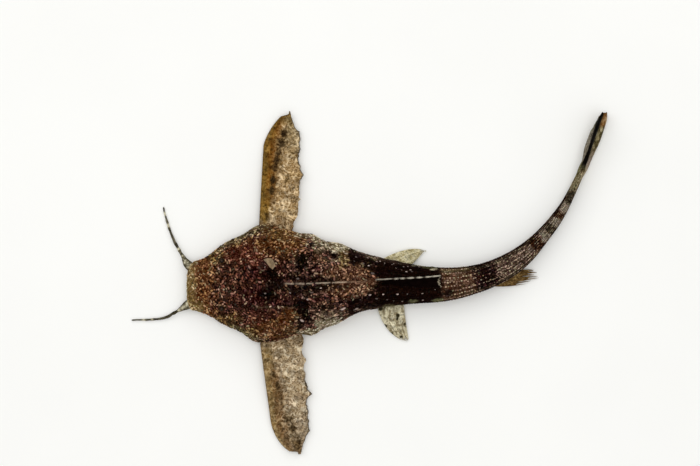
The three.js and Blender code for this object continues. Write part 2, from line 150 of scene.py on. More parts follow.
def linear(colours: Array) -> Array:
    """Display colours from 0 to 255 as the linear values that a shader takes."""
    share = np.clip(np.asarray(colours, dtype=float) / 255, 0.0, 1.0)
    return np.where(share <= 0.04045, share / 12.92, ((share + 0.055) / 1.055) ** 2.4)


def rgba(colour: Rgb) -> tuple[float, float, float, float]:
    """One display colour as a shader's colour."""
    red, green, blue = linear(np.array(colour))
    return (float(red), float(green), float(blue), 1.0)


@dataclass(frozen=True)
class Midline:
    """The midline seen from above: straight, then bending smoothly towards the fish's right."""

    origin_at: float = 19.2
    bend_from: float = 48.0
    length: float = 96.0
    turn: float = math.radians(66)
    steps: int = 40

    def heading(self, s: Array) -> Array:
        """The midline's direction there, as an angle from +X."""
        return self.turn * ease(s, self.bend_from, self.length)

    def place(self, s: Array, side: Array, height: Array) -> Array:
        """Bends straight places round the midline.

        Args:
            s: Distances behind the snout.
            side: Distances to the fish's right.
            height: Heights over the resting surface.

        Returns:
            The places as rows of x, y and z in mm.
        """
        s, side, height = np.broadcast_arrays(*(np.asarray(v, dtype=float) for v in (s, side, height)))
        bent = np.maximum(s - self.bend_from, 0.0)
        middles = (np.arange(self.steps) + 0.5) / self.steps
        angles = self.heading(self.bend_from + bent[..., None] * middles)
        x = np.minimum(s, self.bend_from) - self.origin_at + bent * np.cos(angles).mean(axis=-1)
        y = bent * np.sin(angles).mean(axis=-1)
        angle = self.heading(s)
        return rows(x - side * np.sin(angle), y + side * np.cos(angle), height)


@dataclass(frozen=True)
class Section:
    """The cross-section's measures at one place behind the snout or at many, in mm.

    In the table of stations the widths are in half shoulder widths and the heights in nape depths.
    """

    at: Any
    half: Any
    back: Any
    edge: Any
    belly: Any
    sway: Any
    crown: Any


@dataclass(frozen=True)
class Ridge:
    """A bony ridge between two distances behind the snout, on both sides where side isn't 0."""

    start: float
    end: float
    side: float
    side_end: float
    width: float
    rise: float


@dataclass(frozen=True)
class Knob:
    """A round knob, or a hollow where rise is under 0, on both sides of the head."""

    at: float
    side: float
    radius: float
    rise: float


@dataclass(frozen=True)
class Profile:
    """The fish's outline and depth from snout to tail fin, with the relief of its upper side."""

    half_shoulder: float = 12.6
    nape: float = 12.4
    belly_flat: float = 2.9
    snout_round: float = 1.7
    snout_power: float = 2.8
    tail_round: float = 2.4
    tail_power: float = 2.0
    stations: tuple[Section, ...] = (
        Section(0, 0.39, 0.32, 0.21, 0.1, -0.45, 2.3), Section(3.5, 0.468, 0.44, 0.2, 0.04, -0.14, 2.1),
        Section(8.7, 0.725, 0.6, 0.21, 0, 0.12, 1.9), Section(12, 0.842, 0.71, 0.22, -0.01, 0.17, 1.85),
        Section(15.2, 1.0, 0.79, 0.23, -0.015, 0.2, 1.8), Section(19, 0.98, 0.88, 0.23, -0.02, 0.2, 1.75),
        Section(24.5, 0.87, 0.97, 0.24, -0.02, 0.2, 1.75),
        Section(27, 0.857, 0.99, 0.25, -0.02, -0.02, 1.75),
        Section(29.8, 0.75, 1.0, 0.27, -0.015, 0.02, 1.75),
        Section(33, 0.675, 0.99, 0.3, -0.01, 0.35, 1.75), Section(37, 0.52, 0.95, 0.34, 0.01, 0.6, 1.8),
        Section(43, 0.408, 0.86, 0.35, 0.04, 0.45, 1.95), Section(50, 0.321, 0.74, 0.34, 0.07, 0.1, 2.15),
        Section(56, 0.281, 0.67, 0.34, 0.08, -0.13, 2.3), Section(62, 0.238, 0.61, 0.33, 0.09, -0.07, 2.4),
        Section(72, 0.187, 0.53, 0.31, 0.1, 0.03, 2.5), Section(80, 0.122, 0.47, 0.28, 0.09, 0.24, 2.5),
        Section(85, 0.098, 0.44, 0.265, 0.08, 0.06, 2.45), Section(89, 0.074, 0.42, 0.25, 0.07, -0.08, 2.4),
        Section(98.4, 0.05, 0.4, 0.22, 0.04, -0.2, 2.2),
    )
    ridges: tuple[Ridge, ...] = (
        Ridge(20, 41, 0, 0, 0.8, 0.65), Ridge(3, 9.5, 2.2, 4.9, 0.9, 0.45),
        Ridge(9, 20, 5.2, 5.6, 1.0, 0.45), Ridge(21, 35, 4.2, 3.4, 0.9, 0.45),
        Ridge(20, 34, 8.6, 6.6, 1.0, 0.5),
    )
    knobs: tuple[Knob, ...] = (
        Knob(7.9, 5.0, 1.3, 0.5), Knob(15.5, 7.6, 2.0, 0.45), Knob(18.4, 2.9, 2.2, -0.65),
        Knob(25.2, 5.0, 1.7, -0.9), Knob(27, 9.0, 1.8, 0.45), Knob(12.5, 2.6, 2.2, -0.4),
    )

    @property
    def length(self) -> float:
        """How far behind the snout the flesh ends."""
        return self.stations[-1].at

    def section(self, s: Array) -> Section:
        """The cross-section's measures, by a smooth curve through the stations.

        Args:
            s: Distances behind the snout.

        Returns:
            Each measure in mm, with one value for each distance.
        """
        known = np.array([station.at for station in self.stations])
        scale = (self.half_shoulder, self.nape, self.nape, self.nape, 1.0, 1.0)
        values = np.array([astuple(station)[1:] for station in self.stations]) * scale
        after = np.clip(np.searchsorted(known, s, side="right"), 1, len(known) - 1)
        before = after - 1
        earlier = np.where(before > 0, before - 1, after)
        later = np.where(after < len(known) - 1, np.minimum(after + 1, len(known) - 1), before)
        span = known[after] - known[before]
        share = (np.asarray(s) - known[before]) / span
        pull_before = 0.5 * span / (known[before] - known[earlier])
        pull_after = 0.5 * span / (known[later] - known[after])
        square, cube = share**2, share**3
        from_earlier = pull_before * (-cube + 2 * square - share)
        from_before = (1 + pull_before) * cube - (1.5 + 2 * pull_before) * square
        from_before += (pull_before - 0.5) * share + 1
        from_after = -(1 + pull_after) * cube + (1.5 + pull_after) * square + 0.5 * share
        from_later = pull_after * (cube - square)
        weights = ((from_earlier, earlier), (from_before, before), (from_after, after), (from_later, later))
        mixed = sum(weight[..., None] * values[index] for weight, index in weights)
        return Section(s, *np.moveaxis(mixed, -1, 0))

    def relief(self, s: Array, side: Array) -> Array:
        """The ridges, knobs and hollows of the upper side, as a height to add."""
        height = np.zeros(np.broadcast(s, side).shape)
        for ridge in self.ridges:
            along = np.clip((s - ridge.start) / (ridge.end - ridge.start), 0.0, 1.0)
            line = lerp(ridge.side, ridge.side_end, along)
            fade = np.sqrt(np.maximum(np.sin(np.pi * along), 0.0))
            height = height + ridge.rise * bump(np.abs(side), line, ridge.width) * fade
        for knob in self.knobs:
            off = np.hypot(s - knob.at, np.abs(side) - knob.side)
            height = height + knob.rise * bump(off, 0.0, knob.radius)
        return height

    def skin(self, s: Array, turn: Array, opening: Any = 1.0) -> Array:
        """A place of the skin in the straight fish.

        Args:
            s: Distances behind the snout.
            turn: Angles round the section: 0 at the right edge and a quarter turn at the back.
            opening: How far the section has opened, from 0 at an end of the fish to 1.

        Returns:
            Rows of s, side and height.
        """
        part = self.section(s)
        up = np.sin(turn)
        roundness = np.where(up >= 0, part.crown, self.belly_flat)
        side = part.half * opening * swell(np.cos(turn), roundness)
        tall = np.where(up >= 0, part.back - part.edge, part.edge - part.belly) * opening
        raised = np.where(up > 0, self.relief(s, side) * up * opening, 0.0)
        height = part.edge + tall * swell(up, roundness) + raised
        return rows(s, side + part.sway, np.maximum(height, 0.0))

    def back_height(self, s: Array, side: Array) -> Array:
        """The height of the back, for what lies on it."""
        part = self.section(s)
        across = np.minimum(np.abs(side - part.sway) / part.half, 1.0)
        dome = (1 - across**part.crown) ** (1 / part.crown)
        return part.edge + (part.back - part.edge) * dome + self.relief(s, side - part.sway) * dome

    def rings(self, latitude: Array) -> tuple[Array, Array]:
        """Spreads the rings of a sphere along the fish.

        Args:
            latitude: 0 at the sphere's snout pole and 1 at its tail pole.

        Returns:
            The distance behind the snout, and how far the section has opened there.
        """
        end = 0.05
        snout = np.clip(latitude / end, 0, 1) * np.pi / 2
        tail = np.clip((1 - latitude) / end, 0, 1) * np.pi / 2
        share = np.clip((latitude - end) / (1 - 2 * end), 0, 1)
        from_snout = self.snout_round * (1 - np.cos(snout) ** (2 / self.snout_power))
        from_tail = self.tail_round * (1 - np.cos(tail) ** (2 / self.tail_power))
        between = lerp(self.snout_round, self.length - self.tail_round, share)
        rear = np.where(latitude > 1 - end, self.length - from_tail, between)
        s = np.where(latitude < end, from_snout, rear)
        opening = np.sin(snout) ** (2 / self.snout_power) * np.sin(tail) ** (2 / self.tail_power)
        return s, opening


MIDLINE = Midline()
PROFILE = Profile()


@dataclass(frozen=True)
class Tint:
    """The skin's colour between its grains and on them, as display values from 0 to 255."""

    ground: Rgb
    fleck: Rgb


class Coat:
    """The two colours of many places while tints are laid over one another."""

    def __init__(self, count: int, tint: Tint) -> None:
        """Starts with one tint all over."""
        self.ground = np.tile(1.0 * np.array(tint.ground), (count, 1))
        self.fleck = np.tile(1.0 * np.array(tint.fleck), (count, 1))

    def lay(self, weight: Array, tint: Tint) -> None:
        """Lays a tint over the rest, as strongly as its weight from 0 to 1 says."""
        weight = np.clip(weight, 0, 1)[:, None]
        self.ground = lerp(self.ground, np.array(tint.ground), weight)
        self.fleck = lerp(self.fleck, np.array(tint.fleck), weight)

    def shift(self, amount: Array) -> "Coat":
        """The coat with its ground lightened or darkened by display levels."""
        self.ground = self.ground + amount[:, None]
        return self


class Hue(Enum):
    """The colours of the fish's parts."""

    SNOUT = Tint((62, 24, 2), (182, 134, 90))
    LIP = Tint((108, 82, 40), (196, 170, 126))
    FOREHEAD = Tint((16, 2, 0), (135, 88, 68))
    CHEEK = Tint((42, 18, 0), (174, 142, 88))
    HEAD = Tint((20, 2, 0), (117, 72, 58))
    RUST = Tint((52, 10, 0), (170, 112, 88))
    MAROON = Tint((22, 0, 0), (92, 52, 46))
    FOSSA = Tint((5, 1, 0), (36, 22, 14))
    SHOULDER = Tint((61, 24, 0), (162, 120, 78))
    BACK = Tint((12, 1, 0), (162, 116, 96))
    MARGIN = Tint((92, 74, 42), (228, 216, 188))
    PALE = Tint((112, 98, 68), (240, 230, 208))
    FRINGE = Tint((176, 168, 138), (226, 220, 196))
    WEDGE = Tint((48, 20, 6), (176, 134, 104))
    BLACK = Tint((14, 4, 2), (50, 30, 22))
    OLIVE = Tint((52, 46, 20), (154, 148, 112))
    PALE_OLIVE = Tint((104, 106, 66), (178, 176, 140))
    GOLD = Tint((80, 50, 18), (182, 146, 98))
    OCHRE = Tint((72, 50, 18), (176, 152, 100))
    RIM = Tint((64, 50, 22), (190, 178, 138))
    TAIL_PATCH = Tint((70, 42, 24), (148, 120, 100))
    TAIL_BLACK = Tint((8, 0, 0), (80, 54, 50))
    STRIPED = Tint((56, 38, 27), (166, 142, 124))
    RED_BROWN = Tint((22, 4, 0), (74, 46, 30))
    MAUVE = Tint((88, 74, 60), (170, 156, 140))
    DUSKY = Tint((26, 17, 6), (92, 80, 64))
    TAIL_END = Tint((82, 70, 40), (160, 148, 116))
    BELLY = Tint((128, 98, 68), (176, 148, 116))


@dataclass(frozen=True)
class Patch:
    """A soft patch of pigment on the upper side, centred behind the snout and off the midline."""

    hue: Hue
    at: float
    side: float
    along: float
    across: float
    strength: float = 1.0
    power: float = 2.0
    soft: float = 0.3
    wobble: float = 0.35

    def weight(self, s: Array, side: Array, waver: Array) -> Array:
        """How much of its colour each place takes.

        Args:
            s: Distances behind the snout.
            side: Distances to the fish's right.
            waver: Unevenness of the patch's edge, between -1 and 1.

        Returns:
            Shares from 0 to the patch's strength.
        """
        off_along = np.abs((s - self.at) / self.along) ** self.power
        off_across = np.abs((side - self.side) / self.across) ** self.power
        reach = (off_along + off_across) ** (1 / self.power) + self.wobble * waver
        return self.strength * (1 - ease(reach, 1 - self.soft, 1 + self.soft))


@dataclass(frozen=True)
class Stripe:
    """Pigment along the tail, at an offset from the midline in half widths."""

    hue: Hue
    start: float
    end: float
    offset: float
    width: float
    strength: float = 1.0
    fade_in: float = 1.0
    fade_out: float = 4.0

    def weight(self, s: Array, offset: Array) -> Array:
        """How much of its colour each place takes, by its distance back and its offset in half widths."""
        begun = ease(s, self.start - self.fade_in, self.start + self.fade_in)
        over = ease(s, self.end - self.fade_out, self.end)
        return self.strength * begun * (1 - over) * bump(offset, self.offset, self.width)


def spots(hue: Hue, *measures: tuple[float, ...]) -> list[Patch]:
    """Patches of one colour, by their other measures."""
    return [Patch(hue, *row) for row in measures]


def band(hue: Hue, start: float, end: float, soft: float = 0.2, wobble: float = 0.15) -> Patch:
    """Pigment right across the fish between two distances behind the snout."""
    half = (end - start) / 2
    return Patch(hue, start + half, 0, half, 60, power=6, soft=soft, wobble=wobble)


@dataclass(frozen=True)
class Pigment:
    """The whole fish's colours, laid over one another from the first patch to the last."""

    patches: tuple[Patch, ...] = (
        band(Hue.SNOUT, -4, 8, 0.3, 0.1), band(Hue.FOREHEAD, 6.0, 15, 0.3, 0.4),
        band(Hue.HEAD, 13, 23, 0.35, 0.4), band(Hue.BACK, 21.5, 36, 0.3, 0.3),
        band(Hue.BLACK, 34.8, 56, 0.06, 0.04), band(Hue.TAIL_PATCH, 55.0, 62.4, 0.12, 0.1),
        band(Hue.TAIL_BLACK, 62.1, 67.4, 0.15, 0.12), band(Hue.STRIPED, 67.2, 77.2, 0.12, 0.1),
        band(Hue.RED_BROWN, 76.8, 79.6, 0.3, 0.3), band(Hue.MAUVE, 79.4, 81.7, 0.3, 0.3),
        band(Hue.DUSKY, 81.4, 83.3, 0.3, 0.3), band(Hue.MAUVE, 83.3, 85.1, 0.3, 0.3),
        band(Hue.RED_BROWN, 85.2, 86.7, 0.3, 0.3), band(Hue.MAUVE, 86.7, 89.3, 0.3, 0.3),
        band(Hue.DUSKY, 89.0, 92.4, 0.3, 0.3), band(Hue.TAIL_END, 92.2, 104, 0.2, 0.2),
        *spots(Hue.LIP, (0.5, 0, 1.5, 9, 1, 4), (2.4, -4.8, 1.6, 1.4), (10.2, 8.5, 1.4, 0.8, 0.5)),
        *spots(Hue.CHEEK, (6.8, 6.3, 2.6, 1.6), (8.6, -7.6, 3.2, 1.6, 0.75), (12.6, -10.2, 3.4, 1.3, 0.8),
               (10.8, 8.9, 3.2, 1.4, 0.9)),
        *spots(Hue.MAROON, (15.6, 4.2, 3.6, 2.3, 0.8), (14.8, -2.8, 4.2, 2.2, 0.85),
               (12.5, 7.0, 2.4, 1.8, 0.4)),
        *spots(Hue.RUST, (12.6, 6.6, 5.0, 2.6, 0.8), (15.4, -7.2, 2.2, 1.6, 0.6)),
        Patch(Hue.SHOULDER, 20.6, 9.6, 5.2, 3.8, 0.95),
        *spots(Hue.GOLD, (20.6, 11.0, 4.2, 1.5, 0.8), (22.4, -9.8, 1.7, 1.6, 0.6)),
        *spots(Hue.SHOULDER, (22.0, -6.6, 2.3, 1.8, 0.9), (18.0, -9.8, 3.4, 2.4, 0.75)),
        # The first dark spot here, behind the skin flake and over a hollow, is partly painted shadow of the
        # flake, partly the hollow's dark skin.
        *spots(Hue.FOSSA, (18.5, 2.8, 1.25, 1.15), (19.2, 0.55, 2.1, 0.85, 0.9), (18.1, -2.5, 1.9, 1.3),
               (24.7, -2.2, 3.4, 1.2, 0.75), (23.8, 2.0, 2.8, 0.9, 0.4)),
        *spots(Hue.MARGIN, (18.6, -4.7, 5.4, 0.24, 0.45), (32.2, 5.3, 2.6, 0.3, 0.7)),
        Patch(Hue.WEDGE, 34.6, 1.0, 7.0, 3.9, 1, 1.6, 0.12, 0.1),
        Patch(Hue.FOSSA, 28.9, 0.6, 2.8, 1.4, 0.7), Patch(Hue.MAROON, 28.2, 3.0, 1.5, 1.2, 0.45),
        Patch(Hue.WEDGE, 28.6, 5.8, 1.7, 1.1, 0.9), Patch(Hue.OCHRE, 33.9, 6.0, 1.1, 2.1, 0.7, 3),
        *spots(Hue.MARGIN, (31.3, 9.2, 4.1, 1.9, 0.9, 3), (33.4, 8.2, 1.8, 1.3, 1, 3),
               (31.0, -6.9, 3.2, 1.9, 0.45, 3)),
        Patch(Hue.PALE, 31.6, -8.3, 3.6, 1.2, 0.9, 3), Patch(Hue.WEDGE, 29.6, -3.6, 2.6, 1.6, 0.4),
        Patch(Hue.MARGIN, 26.6, -10.2, 3.4, 0.9, 0.95),
        *spots(Hue.FOSSA, (24.6, -8.0, 1.0, 1.4, 0.55), (32.0, 6.3, 1.6, 0.45, 0.6)),
        Patch(Hue.MARGIN, 25.6, 10.6, 2.2, 0.55, 0.7),
        *spots(Hue.FOSSA, (30.8, -4.6, 3.0, 0.45, 0.5), (25.1, 5.0, 1.5, 1.5, 1, 2, 0.2),
               (25.3, -5.0, 1.4, 1.95, 1, 2, 0.2)),
        Patch(Hue.PALE_OLIVE, 52.9, 3.9, 1.9, 0.4, 0.55),
        Patch(Hue.FRINGE, 53.4, 3.3, 0.9, 0.17, 0.95),
        Patch(Hue.PALE_OLIVE, 41.2, 5.6, 0.9, 0.35, 0.6),
        Patch(Hue.FRINGE, 50.3, 4.15, 1.6, 0.14, 0.7),
        *spots(Hue.PALE_OLIVE, (43.9, -4.65, 1.9, 0.45, 0.85), (48.9, -3.5, 1.0, 0.5, 0.8),
               (54.0, -3.4, 1.3, 0.4, 0.8)),
        Patch(Hue.BLACK, 56.2, -2.0, 1.0, 0.8, 0.8), Patch(Hue.DUSKY, 82.4, 0.0, 0.7, 1.6, 0.5),
        Patch(Hue.BLACK, 66.0, -1.2, 1.5, 1.2, 0.7), Patch(Hue.RED_BROWN, 63.3, 0.6, 1.0, 0.8, 0.7),
        Patch(Hue.BLACK, 64.8, 0.0, 0.8, 2.3, 0.8),
    )
    stripes: tuple[Stripe, ...] = (
        Stripe(Hue.BLACK, 61, 92, 0.95, 0.13, 0.95), Stripe(Hue.BLACK, 68, 93, 0.8, 0.13, 0.55),
        Stripe(Hue.TAIL_END, 55, 64, 0.86, 0.1, 0.6), Stripe(Hue.BLACK, 55, 65, 0.99, 0.05, 0.6),
        Stripe(Hue.BLACK, 62, 88, -0.95, 0.11, 0.75), Stripe(Hue.BLACK, 55, 66, -0.97, 0.08, 0.5),
        Stripe(Hue.OLIVE, 55, 80, 0.77, 0.06, 0.5), Stripe(Hue.OLIVE, 58, 78, -0.78, 0.06, 0.45),
        Stripe(Hue.BLACK, 60, 84, 0.62, 0.06, 0.5), Stripe(Hue.BLACK, 96.5, 106, 0.2, 0.25, 0.85),
        Stripe(Hue.STRIPED, 37, 50, 0.97, 0.08, 0.75), Stripe(Hue.STRIPED, 37, 50, -0.97, 0.07, 0.4),
        Stripe(Hue.RIM, 7, 19, 0.96, 0.1, 0.75), Stripe(Hue.RIM, 9, 19, -0.96, 0.09, 0.75),
        Stripe(Hue.FOSSA, 17, 35, 0.12, 0.045, 0.75), Stripe(Hue.FOSSA, 17, 36, -0.07, 0.05, 0.8),
        Stripe(Hue.MAROON, 12, 33, -0.28, 0.06, 0.6),
    )
    belly: Hue = Hue.BELLY
    tail_belly: float = 0.35
    stripe_wobble: float = 0.03

    def paint(self, s: Array, side: Array, under: Array, grit: Any = 0.0) -> Coat:
        """Colours places of the fish.

        Args:
            s: Distances behind the snout.
            side: Distances to the fish's right.
            under: 0 on the upper side and 1 on the belly.
            grit: Scatter that breaks up the patches' edges.

        Returns:
            The display colours between the grains and on them.
        """
        places = rows(s, side, 0)
        waver = 0.7 * ripple(places, 1.5, 3.7) + 0.5 * ripple(places, 0.6, 9.1) + grit
        coat = Coat(len(s), Hue.HEAD.value)
        for patch in self.patches:
            coat.lay(patch.weight(s, side, waver), patch.hue.value)
        part = PROFILE.section(s)
        offset = (side - part.sway) / part.half + self.stripe_wobble * waver
        for stripe in self.stripes:
            coat.lay(stripe.weight(s, offset), stripe.hue.value)
        coat.lay(np.clip(under, 0, 1) * lerp(1.0, self.tail_belly, ease(s, 40, 60)), self.belly.value)
        return coat


PIGMENT = Pigment()


class Bench:
    """One material while its nodes are added and linked. Sizes are in mm."""

    def __init__(self, name: str) -> None:
        """Starts a material with its main shader."""
        self.material = bpy.data.materials.new(name)
        self.material.use_nodes = True
        self.tree = self.material.node_tree
        self.shader = self.tree.nodes["Principled BSDF"]

    def feed(self, socket: Socket, value: Any) -> None:
        """Gives a socket its value, or the socket that feeds it."""
        if isinstance(value, Socket):
            self.tree.links.new(value, socket)
        else:
            socket.default_value = value

    def node(self, kind: str, values: dict[Any, Any] | None = None, **settings: Any) -> bpy.types.Node:
        """Adds a node.

        Args:
            kind: The node's type name.
            values: For each input, by name or number, a value or the socket that feeds it.
            **settings: The node's own settings.

        Returns:
            The new node.
        """
        made = self.tree.nodes.new(kind)
        for name, setting in settings.items():
            setattr(made, name, setting)
        for socket, value in (values or {}).items():
            self.feed(made.inputs[socket], value)
        return made

    def places(self, size: float) -> Socket:
        """The piece's own places, so that a pattern of scale 1 has spots of that size."""
        own = self.node("ShaderNodeTexCoord").outputs["Object"]
        scale = (1 / (size * MM),) * 3
        return self.node("ShaderNodeMapping", {"Vector": own, "Scale": scale}).outputs["Vector"]

    def grey(self, size: float, detail: float = 2.0) -> Socket:
        """Cloudy noise from 0 to 1."""
        values = {"Vector": self.places(size), "Scale": 1.0, "Detail": detail, "Roughness": 0.55}
        return self.node("ShaderNodeTexNoise", values).outputs["Fac"]

    def cells(self, size: float) -> Socket:
        """The distance to the nearest cell's centre."""
        values = {"Vector": self.places(size), "Scale": 1.0}
        return self.node("ShaderNodeTexVoronoi", values, feature="F1").outputs["Distance"]

    def ramp(self, value: Socket, low: float, high: float, start: float, end: float) -> Socket:
        """A smooth change from start to end while the value goes from low to high."""
        limits = {"Value": value, "From Min": low, "From Max": high, "To Min": start, "To Max": end}
        return self.node("ShaderNodeMapRange", limits, interpolation_type="SMOOTHSTEP").outputs["Result"]

    def clouds(self, size: float, start: float, end: float, low: float = 0.3, high: float = 0.7) -> Socket:
        """Cloudy noise spread between start and end."""
        return self.ramp(self.grey(size), low, high, start, end)

    def mix(self, share: Any, first: Any, second: Any, blend: str = "MIX") -> Socket:
        """One colour mixed into another."""
        values = {0: share, 6: first, 7: second}
        return self.node("ShaderNodeMix", values, data_type="RGBA", blend_type=blend).outputs[2]

    def shade(self, colour: Any, amount: Socket) -> Socket:
        """A colour darkened or lightened by an amount round 1."""
        return self.mix(1.0, colour, amount, "MULTIPLY")

    def tint(self, name: str) -> Socket:
        """The colour that a piece carries under a name."""
        return self.node("ShaderNodeAttribute", attribute_name=name).outputs["Color"]

    def math(self, operation: str, first: Any, second: Any = 0.0) -> Socket:
        """Arithmetic on one or two values."""
        return self.node("ShaderNodeMath", {0: first, 1: second}, operation=operation).outputs[0]

    def relief(self, height: Socket, depth: float) -> None:
        """Gives the shader a bump."""
        made = self.node("ShaderNodeBump", {"Height": height, "Strength": 1.0, "Distance": depth * MM})
        self.feed(self.shader.inputs["Normal"], made.outputs["Normal"])

    def finish(self, colour: Socket, rough: Socket, gloss: float) -> Material:
        """Feeds the main shader and gives the material."""
        for name, value in (("Base Color", colour), ("Roughness", rough), ("Specular IOR Level", gloss)):
            self.feed(self.shader.inputs[name], value)
        return self.material


@dataclass(frozen=True)
class SkinFinish:
    """Rough skin in the piece's own two colours, with fine flecks."""

    name: str = "rough_skin"
    fleck: float = 0.34
    fleck_range: Pair = (0.46, 0.62)
    share: float = 0.32
    cloud: float = 0.9
    shades: Pair = (0.6, 1.15)
    pebble: float = 0.42
    pebble_range: Pair = (0.1, 0.8)
    grit: float = 0.16
    depth: float = 0.06
    damp: float = 0.5
    roughness: Pair = (0.42, 0.62)
    gloss: float = 0.0

    def build(self) -> Material:
        """Makes the material."""
        bench = Bench(self.name)
        flecks = bench.clouds(self.fleck, 0.0, self.share, *self.fleck_range)
        colour = bench.mix(flecks, bench.tint("ground"), bench.tint("fleck"))
        colour = bench.shade(colour, bench.clouds(self.cloud, *self.shades))
        pebbles = bench.ramp(bench.cells(self.pebble), *self.pebble_range, 1.0, 0.0)
        bench.relief(bench.math("ADD", pebbles, bench.grey(self.grit)), self.depth)
        return bench.finish(colour, bench.clouds(self.damp, *self.roughness), self.gloss)


@dataclass(frozen=True)
class FinFinish:
    """Fin skin: pale worm-like lines and dots over the piece's own two colours."""

    name: str
    worm: float = 1.5
    worm_detail: float = 1.5
    worm_width: float = 0.075
    gaps: float = 1.9
    gap_range: Pair = (0.42, 0.58)
    gap_share: float = 0.25
    dots: float = 1.7
    dot_range: Pair = (0.13, 0.24)
    dot_share: float = 0.9
    grain: float = 0.3
    grain_range: Pair = (0.42, 0.64)
    grain_share: float = 0.45
    specks: float = 0.6
    speck_range: Pair = (0.33, 0.5)
    speck_shades: Pair = (0.5, 1.05)
    cloud: float = 1.4
    cloud_range: Pair = (0.35, 0.62)
    shade: float = 0.6
    light: float = 1.08
    grit: float = 0.25
    depth: float = 0.05
    damp: float = 0.8
    roughness: Pair = (0.38, 0.55)
    gloss: float = 0.015

    def build(self) -> Material:
        """Makes the material."""
        bench = Bench(self.name)
        swirl = bench.math("SUBTRACT", bench.grey(self.worm, self.worm_detail), 0.5)
        worms = bench.ramp(bench.math("ABSOLUTE", swirl), 0.2 * self.worm_width, self.worm_width, 1.0, 0.0)
        broken = bench.math("MULTIPLY", worms, bench.clouds(self.gaps, self.gap_share, 1.0, *self.gap_range))
        dots = bench.ramp(bench.cells(self.dots), *self.dot_range, self.dot_share, 0.0)
        pale = bench.math("MAXIMUM", broken, dots)
        grain = bench.clouds(self.grain, 0.0, self.grain_share, *self.grain_range)
        colour = bench.mix(bench.math("MAXIMUM", pale, grain), bench.tint("ground"), bench.tint("fleck"))
        dark = bench.clouds(self.specks, *self.speck_shades, *self.speck_range)
        cloud = bench.clouds(self.cloud, self.shade, self.light, *self.cloud_range)
        colour = bench.shade(colour, bench.math("MULTIPLY", dark, cloud))
        bench.relief(bench.math("ADD", worms, bench.grey(self.grit)), self.depth)
        return bench.finish(colour, bench.clouds(self.damp, *self.roughness), self.gloss)


@dataclass(frozen=True)
class PlainFinish:
    """One colour, the piece's own or a set tone, with faint clouds in it."""

    name: str
    cloud: float
    shades: Pair
    roughness: Pair
    gloss: float
    cloud_range: Pair = (0.3, 0.7)
    tone: Rgb | None = None
    grit: float = 0.1
    depth: float = 0.0
    damp: float = 0.3

    def build(self) -> Material:
        """Makes the material."""
        bench = Bench(self.name)
        colour = rgba(self.tone) if self.tone else bench.tint("ground")
        colour = bench.shade(colour, bench.clouds(self.cloud, *self.shades, *self.cloud_range))
        if self.depth:
            bench.relief(bench.grey(self.grit), self.depth)
        return bench.finish(colour, bench.clouds(self.damp, *self.roughness), self.gloss)


GRAIN_FINISH = PlainFinish("horny_grains", 0.12, (0.85, 1.12), (0.4, 0.6), 0.008, depth=0.02)
EYE_FINISH = PlainFinish("clouded_eye", 0.25, (0.85, 1.1), (0.25, 0.25), 0.06, (0.35, 0.65))
FLOOR_FINISH = PlainFinish("pale_table", 40.0, (0.985, 1.0), (0.7, 0.7), 0.2, tone=(250, 250, 247))


def start_piece(name: str) -> Piece:
    """Names the primitive that was just added."""
    piece = bpy.context.active_object
    piece.name = name
    piece.data.name = name
    return piece


def add_object(name: str, data: Any) -> Piece:
    """Puts a mesh, a lamp or a camera in the scene."""
    made = bpy.data.objects.new(name, data)
    bpy.context.scene.collection.objects.link(made)
    return made


def clear_selection() -> None:
    """Leaves edit mode and deselects everything."""
    if bpy.context.mode != "OBJECT":
        bpy.ops.object.mode_set(mode="OBJECT")
    bpy.ops.object.select_all(action="DESELECT")


def choose(piece: Piece) -> None:
    """Makes a piece the only selected one."""
    clear_selection()
    bpy.context.view_layer.objects.active = piece
    piece.select_set(True)


def edit(select: str = "SELECT") -> None:
    """Goes into edit mode and selects everything or nothing."""
    bpy.ops.object.mode_set(mode="EDIT")
    bpy.ops.mesh.select_all(action=select)


def add_sphere(name: str, around: int, rings: int) -> Piece:
    """Adds a sphere whose poles become the two ends of a long piece."""
    clear_selection()
    bpy.ops.mesh.primitive_uv_sphere_add(segments=around, ring_count=rings, radius=1.0)
    return start_piece(name)


def unroll(piece: Piece) -> tuple[Array, Array]:
    """For each vertex of a sphere, its share of the way between the poles and its turn round them."""
    x, y, z = read_points(piece).T
    return np.arccos(np.clip(z, -1, 1)) / np.pi, np.arctan2(y, x)


def add_grid(name: str, along: int, across: int) -> Piece:
    """Adds a flat grid that becomes a thin plate."""
    clear_selection()
    bpy.ops.mesh.primitive_grid_add(x_subdivisions=along, y_subdivisions=across, size=1.0)
    return start_piece(name)


def read_points(piece: Piece) -> Array:
    """The piece's vertices, one row each."""
    points = np.empty(len(piece.data.vertices) * 3)
    piece.data.vertices.foreach_get("co", points)
    return points.reshape(-1, 3)


def read_normals(piece: Piece) -> Array:
    """The direction that the skin looks in at each vertex."""
    normals = np.empty(len(piece.data.vertices) * 3, dtype=np.float32)
    piece.data.vertex_normals.foreach_get("vector", normals)
    return normals.reshape(-1, 3).astype(float)


def write_points(piece: Piece, points: Array) -> None:
    """Moves the piece's vertices."""
    piece.data.vertices.foreach_set("co", np.asarray(points, dtype=np.float32).ravel())
    piece.data.update()


def write_colours(piece: Piece, ground: Array, fleck: Array | None = None) -> None:
    """Gives the piece its own colours.

    Args:
        piece: The piece, with its vertices final in number.
        ground: Display colours, one row for each vertex.
        fleck: The paler colours of its flecks, if it has any.
    """
    for name, colours in (("ground", ground), ("fleck", fleck)):
        if colours is not None:
            values = np.ones((len(colours), 4), dtype=np.float32)
            values[:, :3] = linear(colours)
            layer = piece.data.attributes.new(name, "FLOAT_COLOR", "POINT")
            layer.data.foreach_set("color", values.ravel())


def paler(ground: Array, gain: float, lift: float) -> Array:
    """The flecks' colours for a piece whose skin has this colour."""
    return np.minimum(ground * gain + lift, 240)


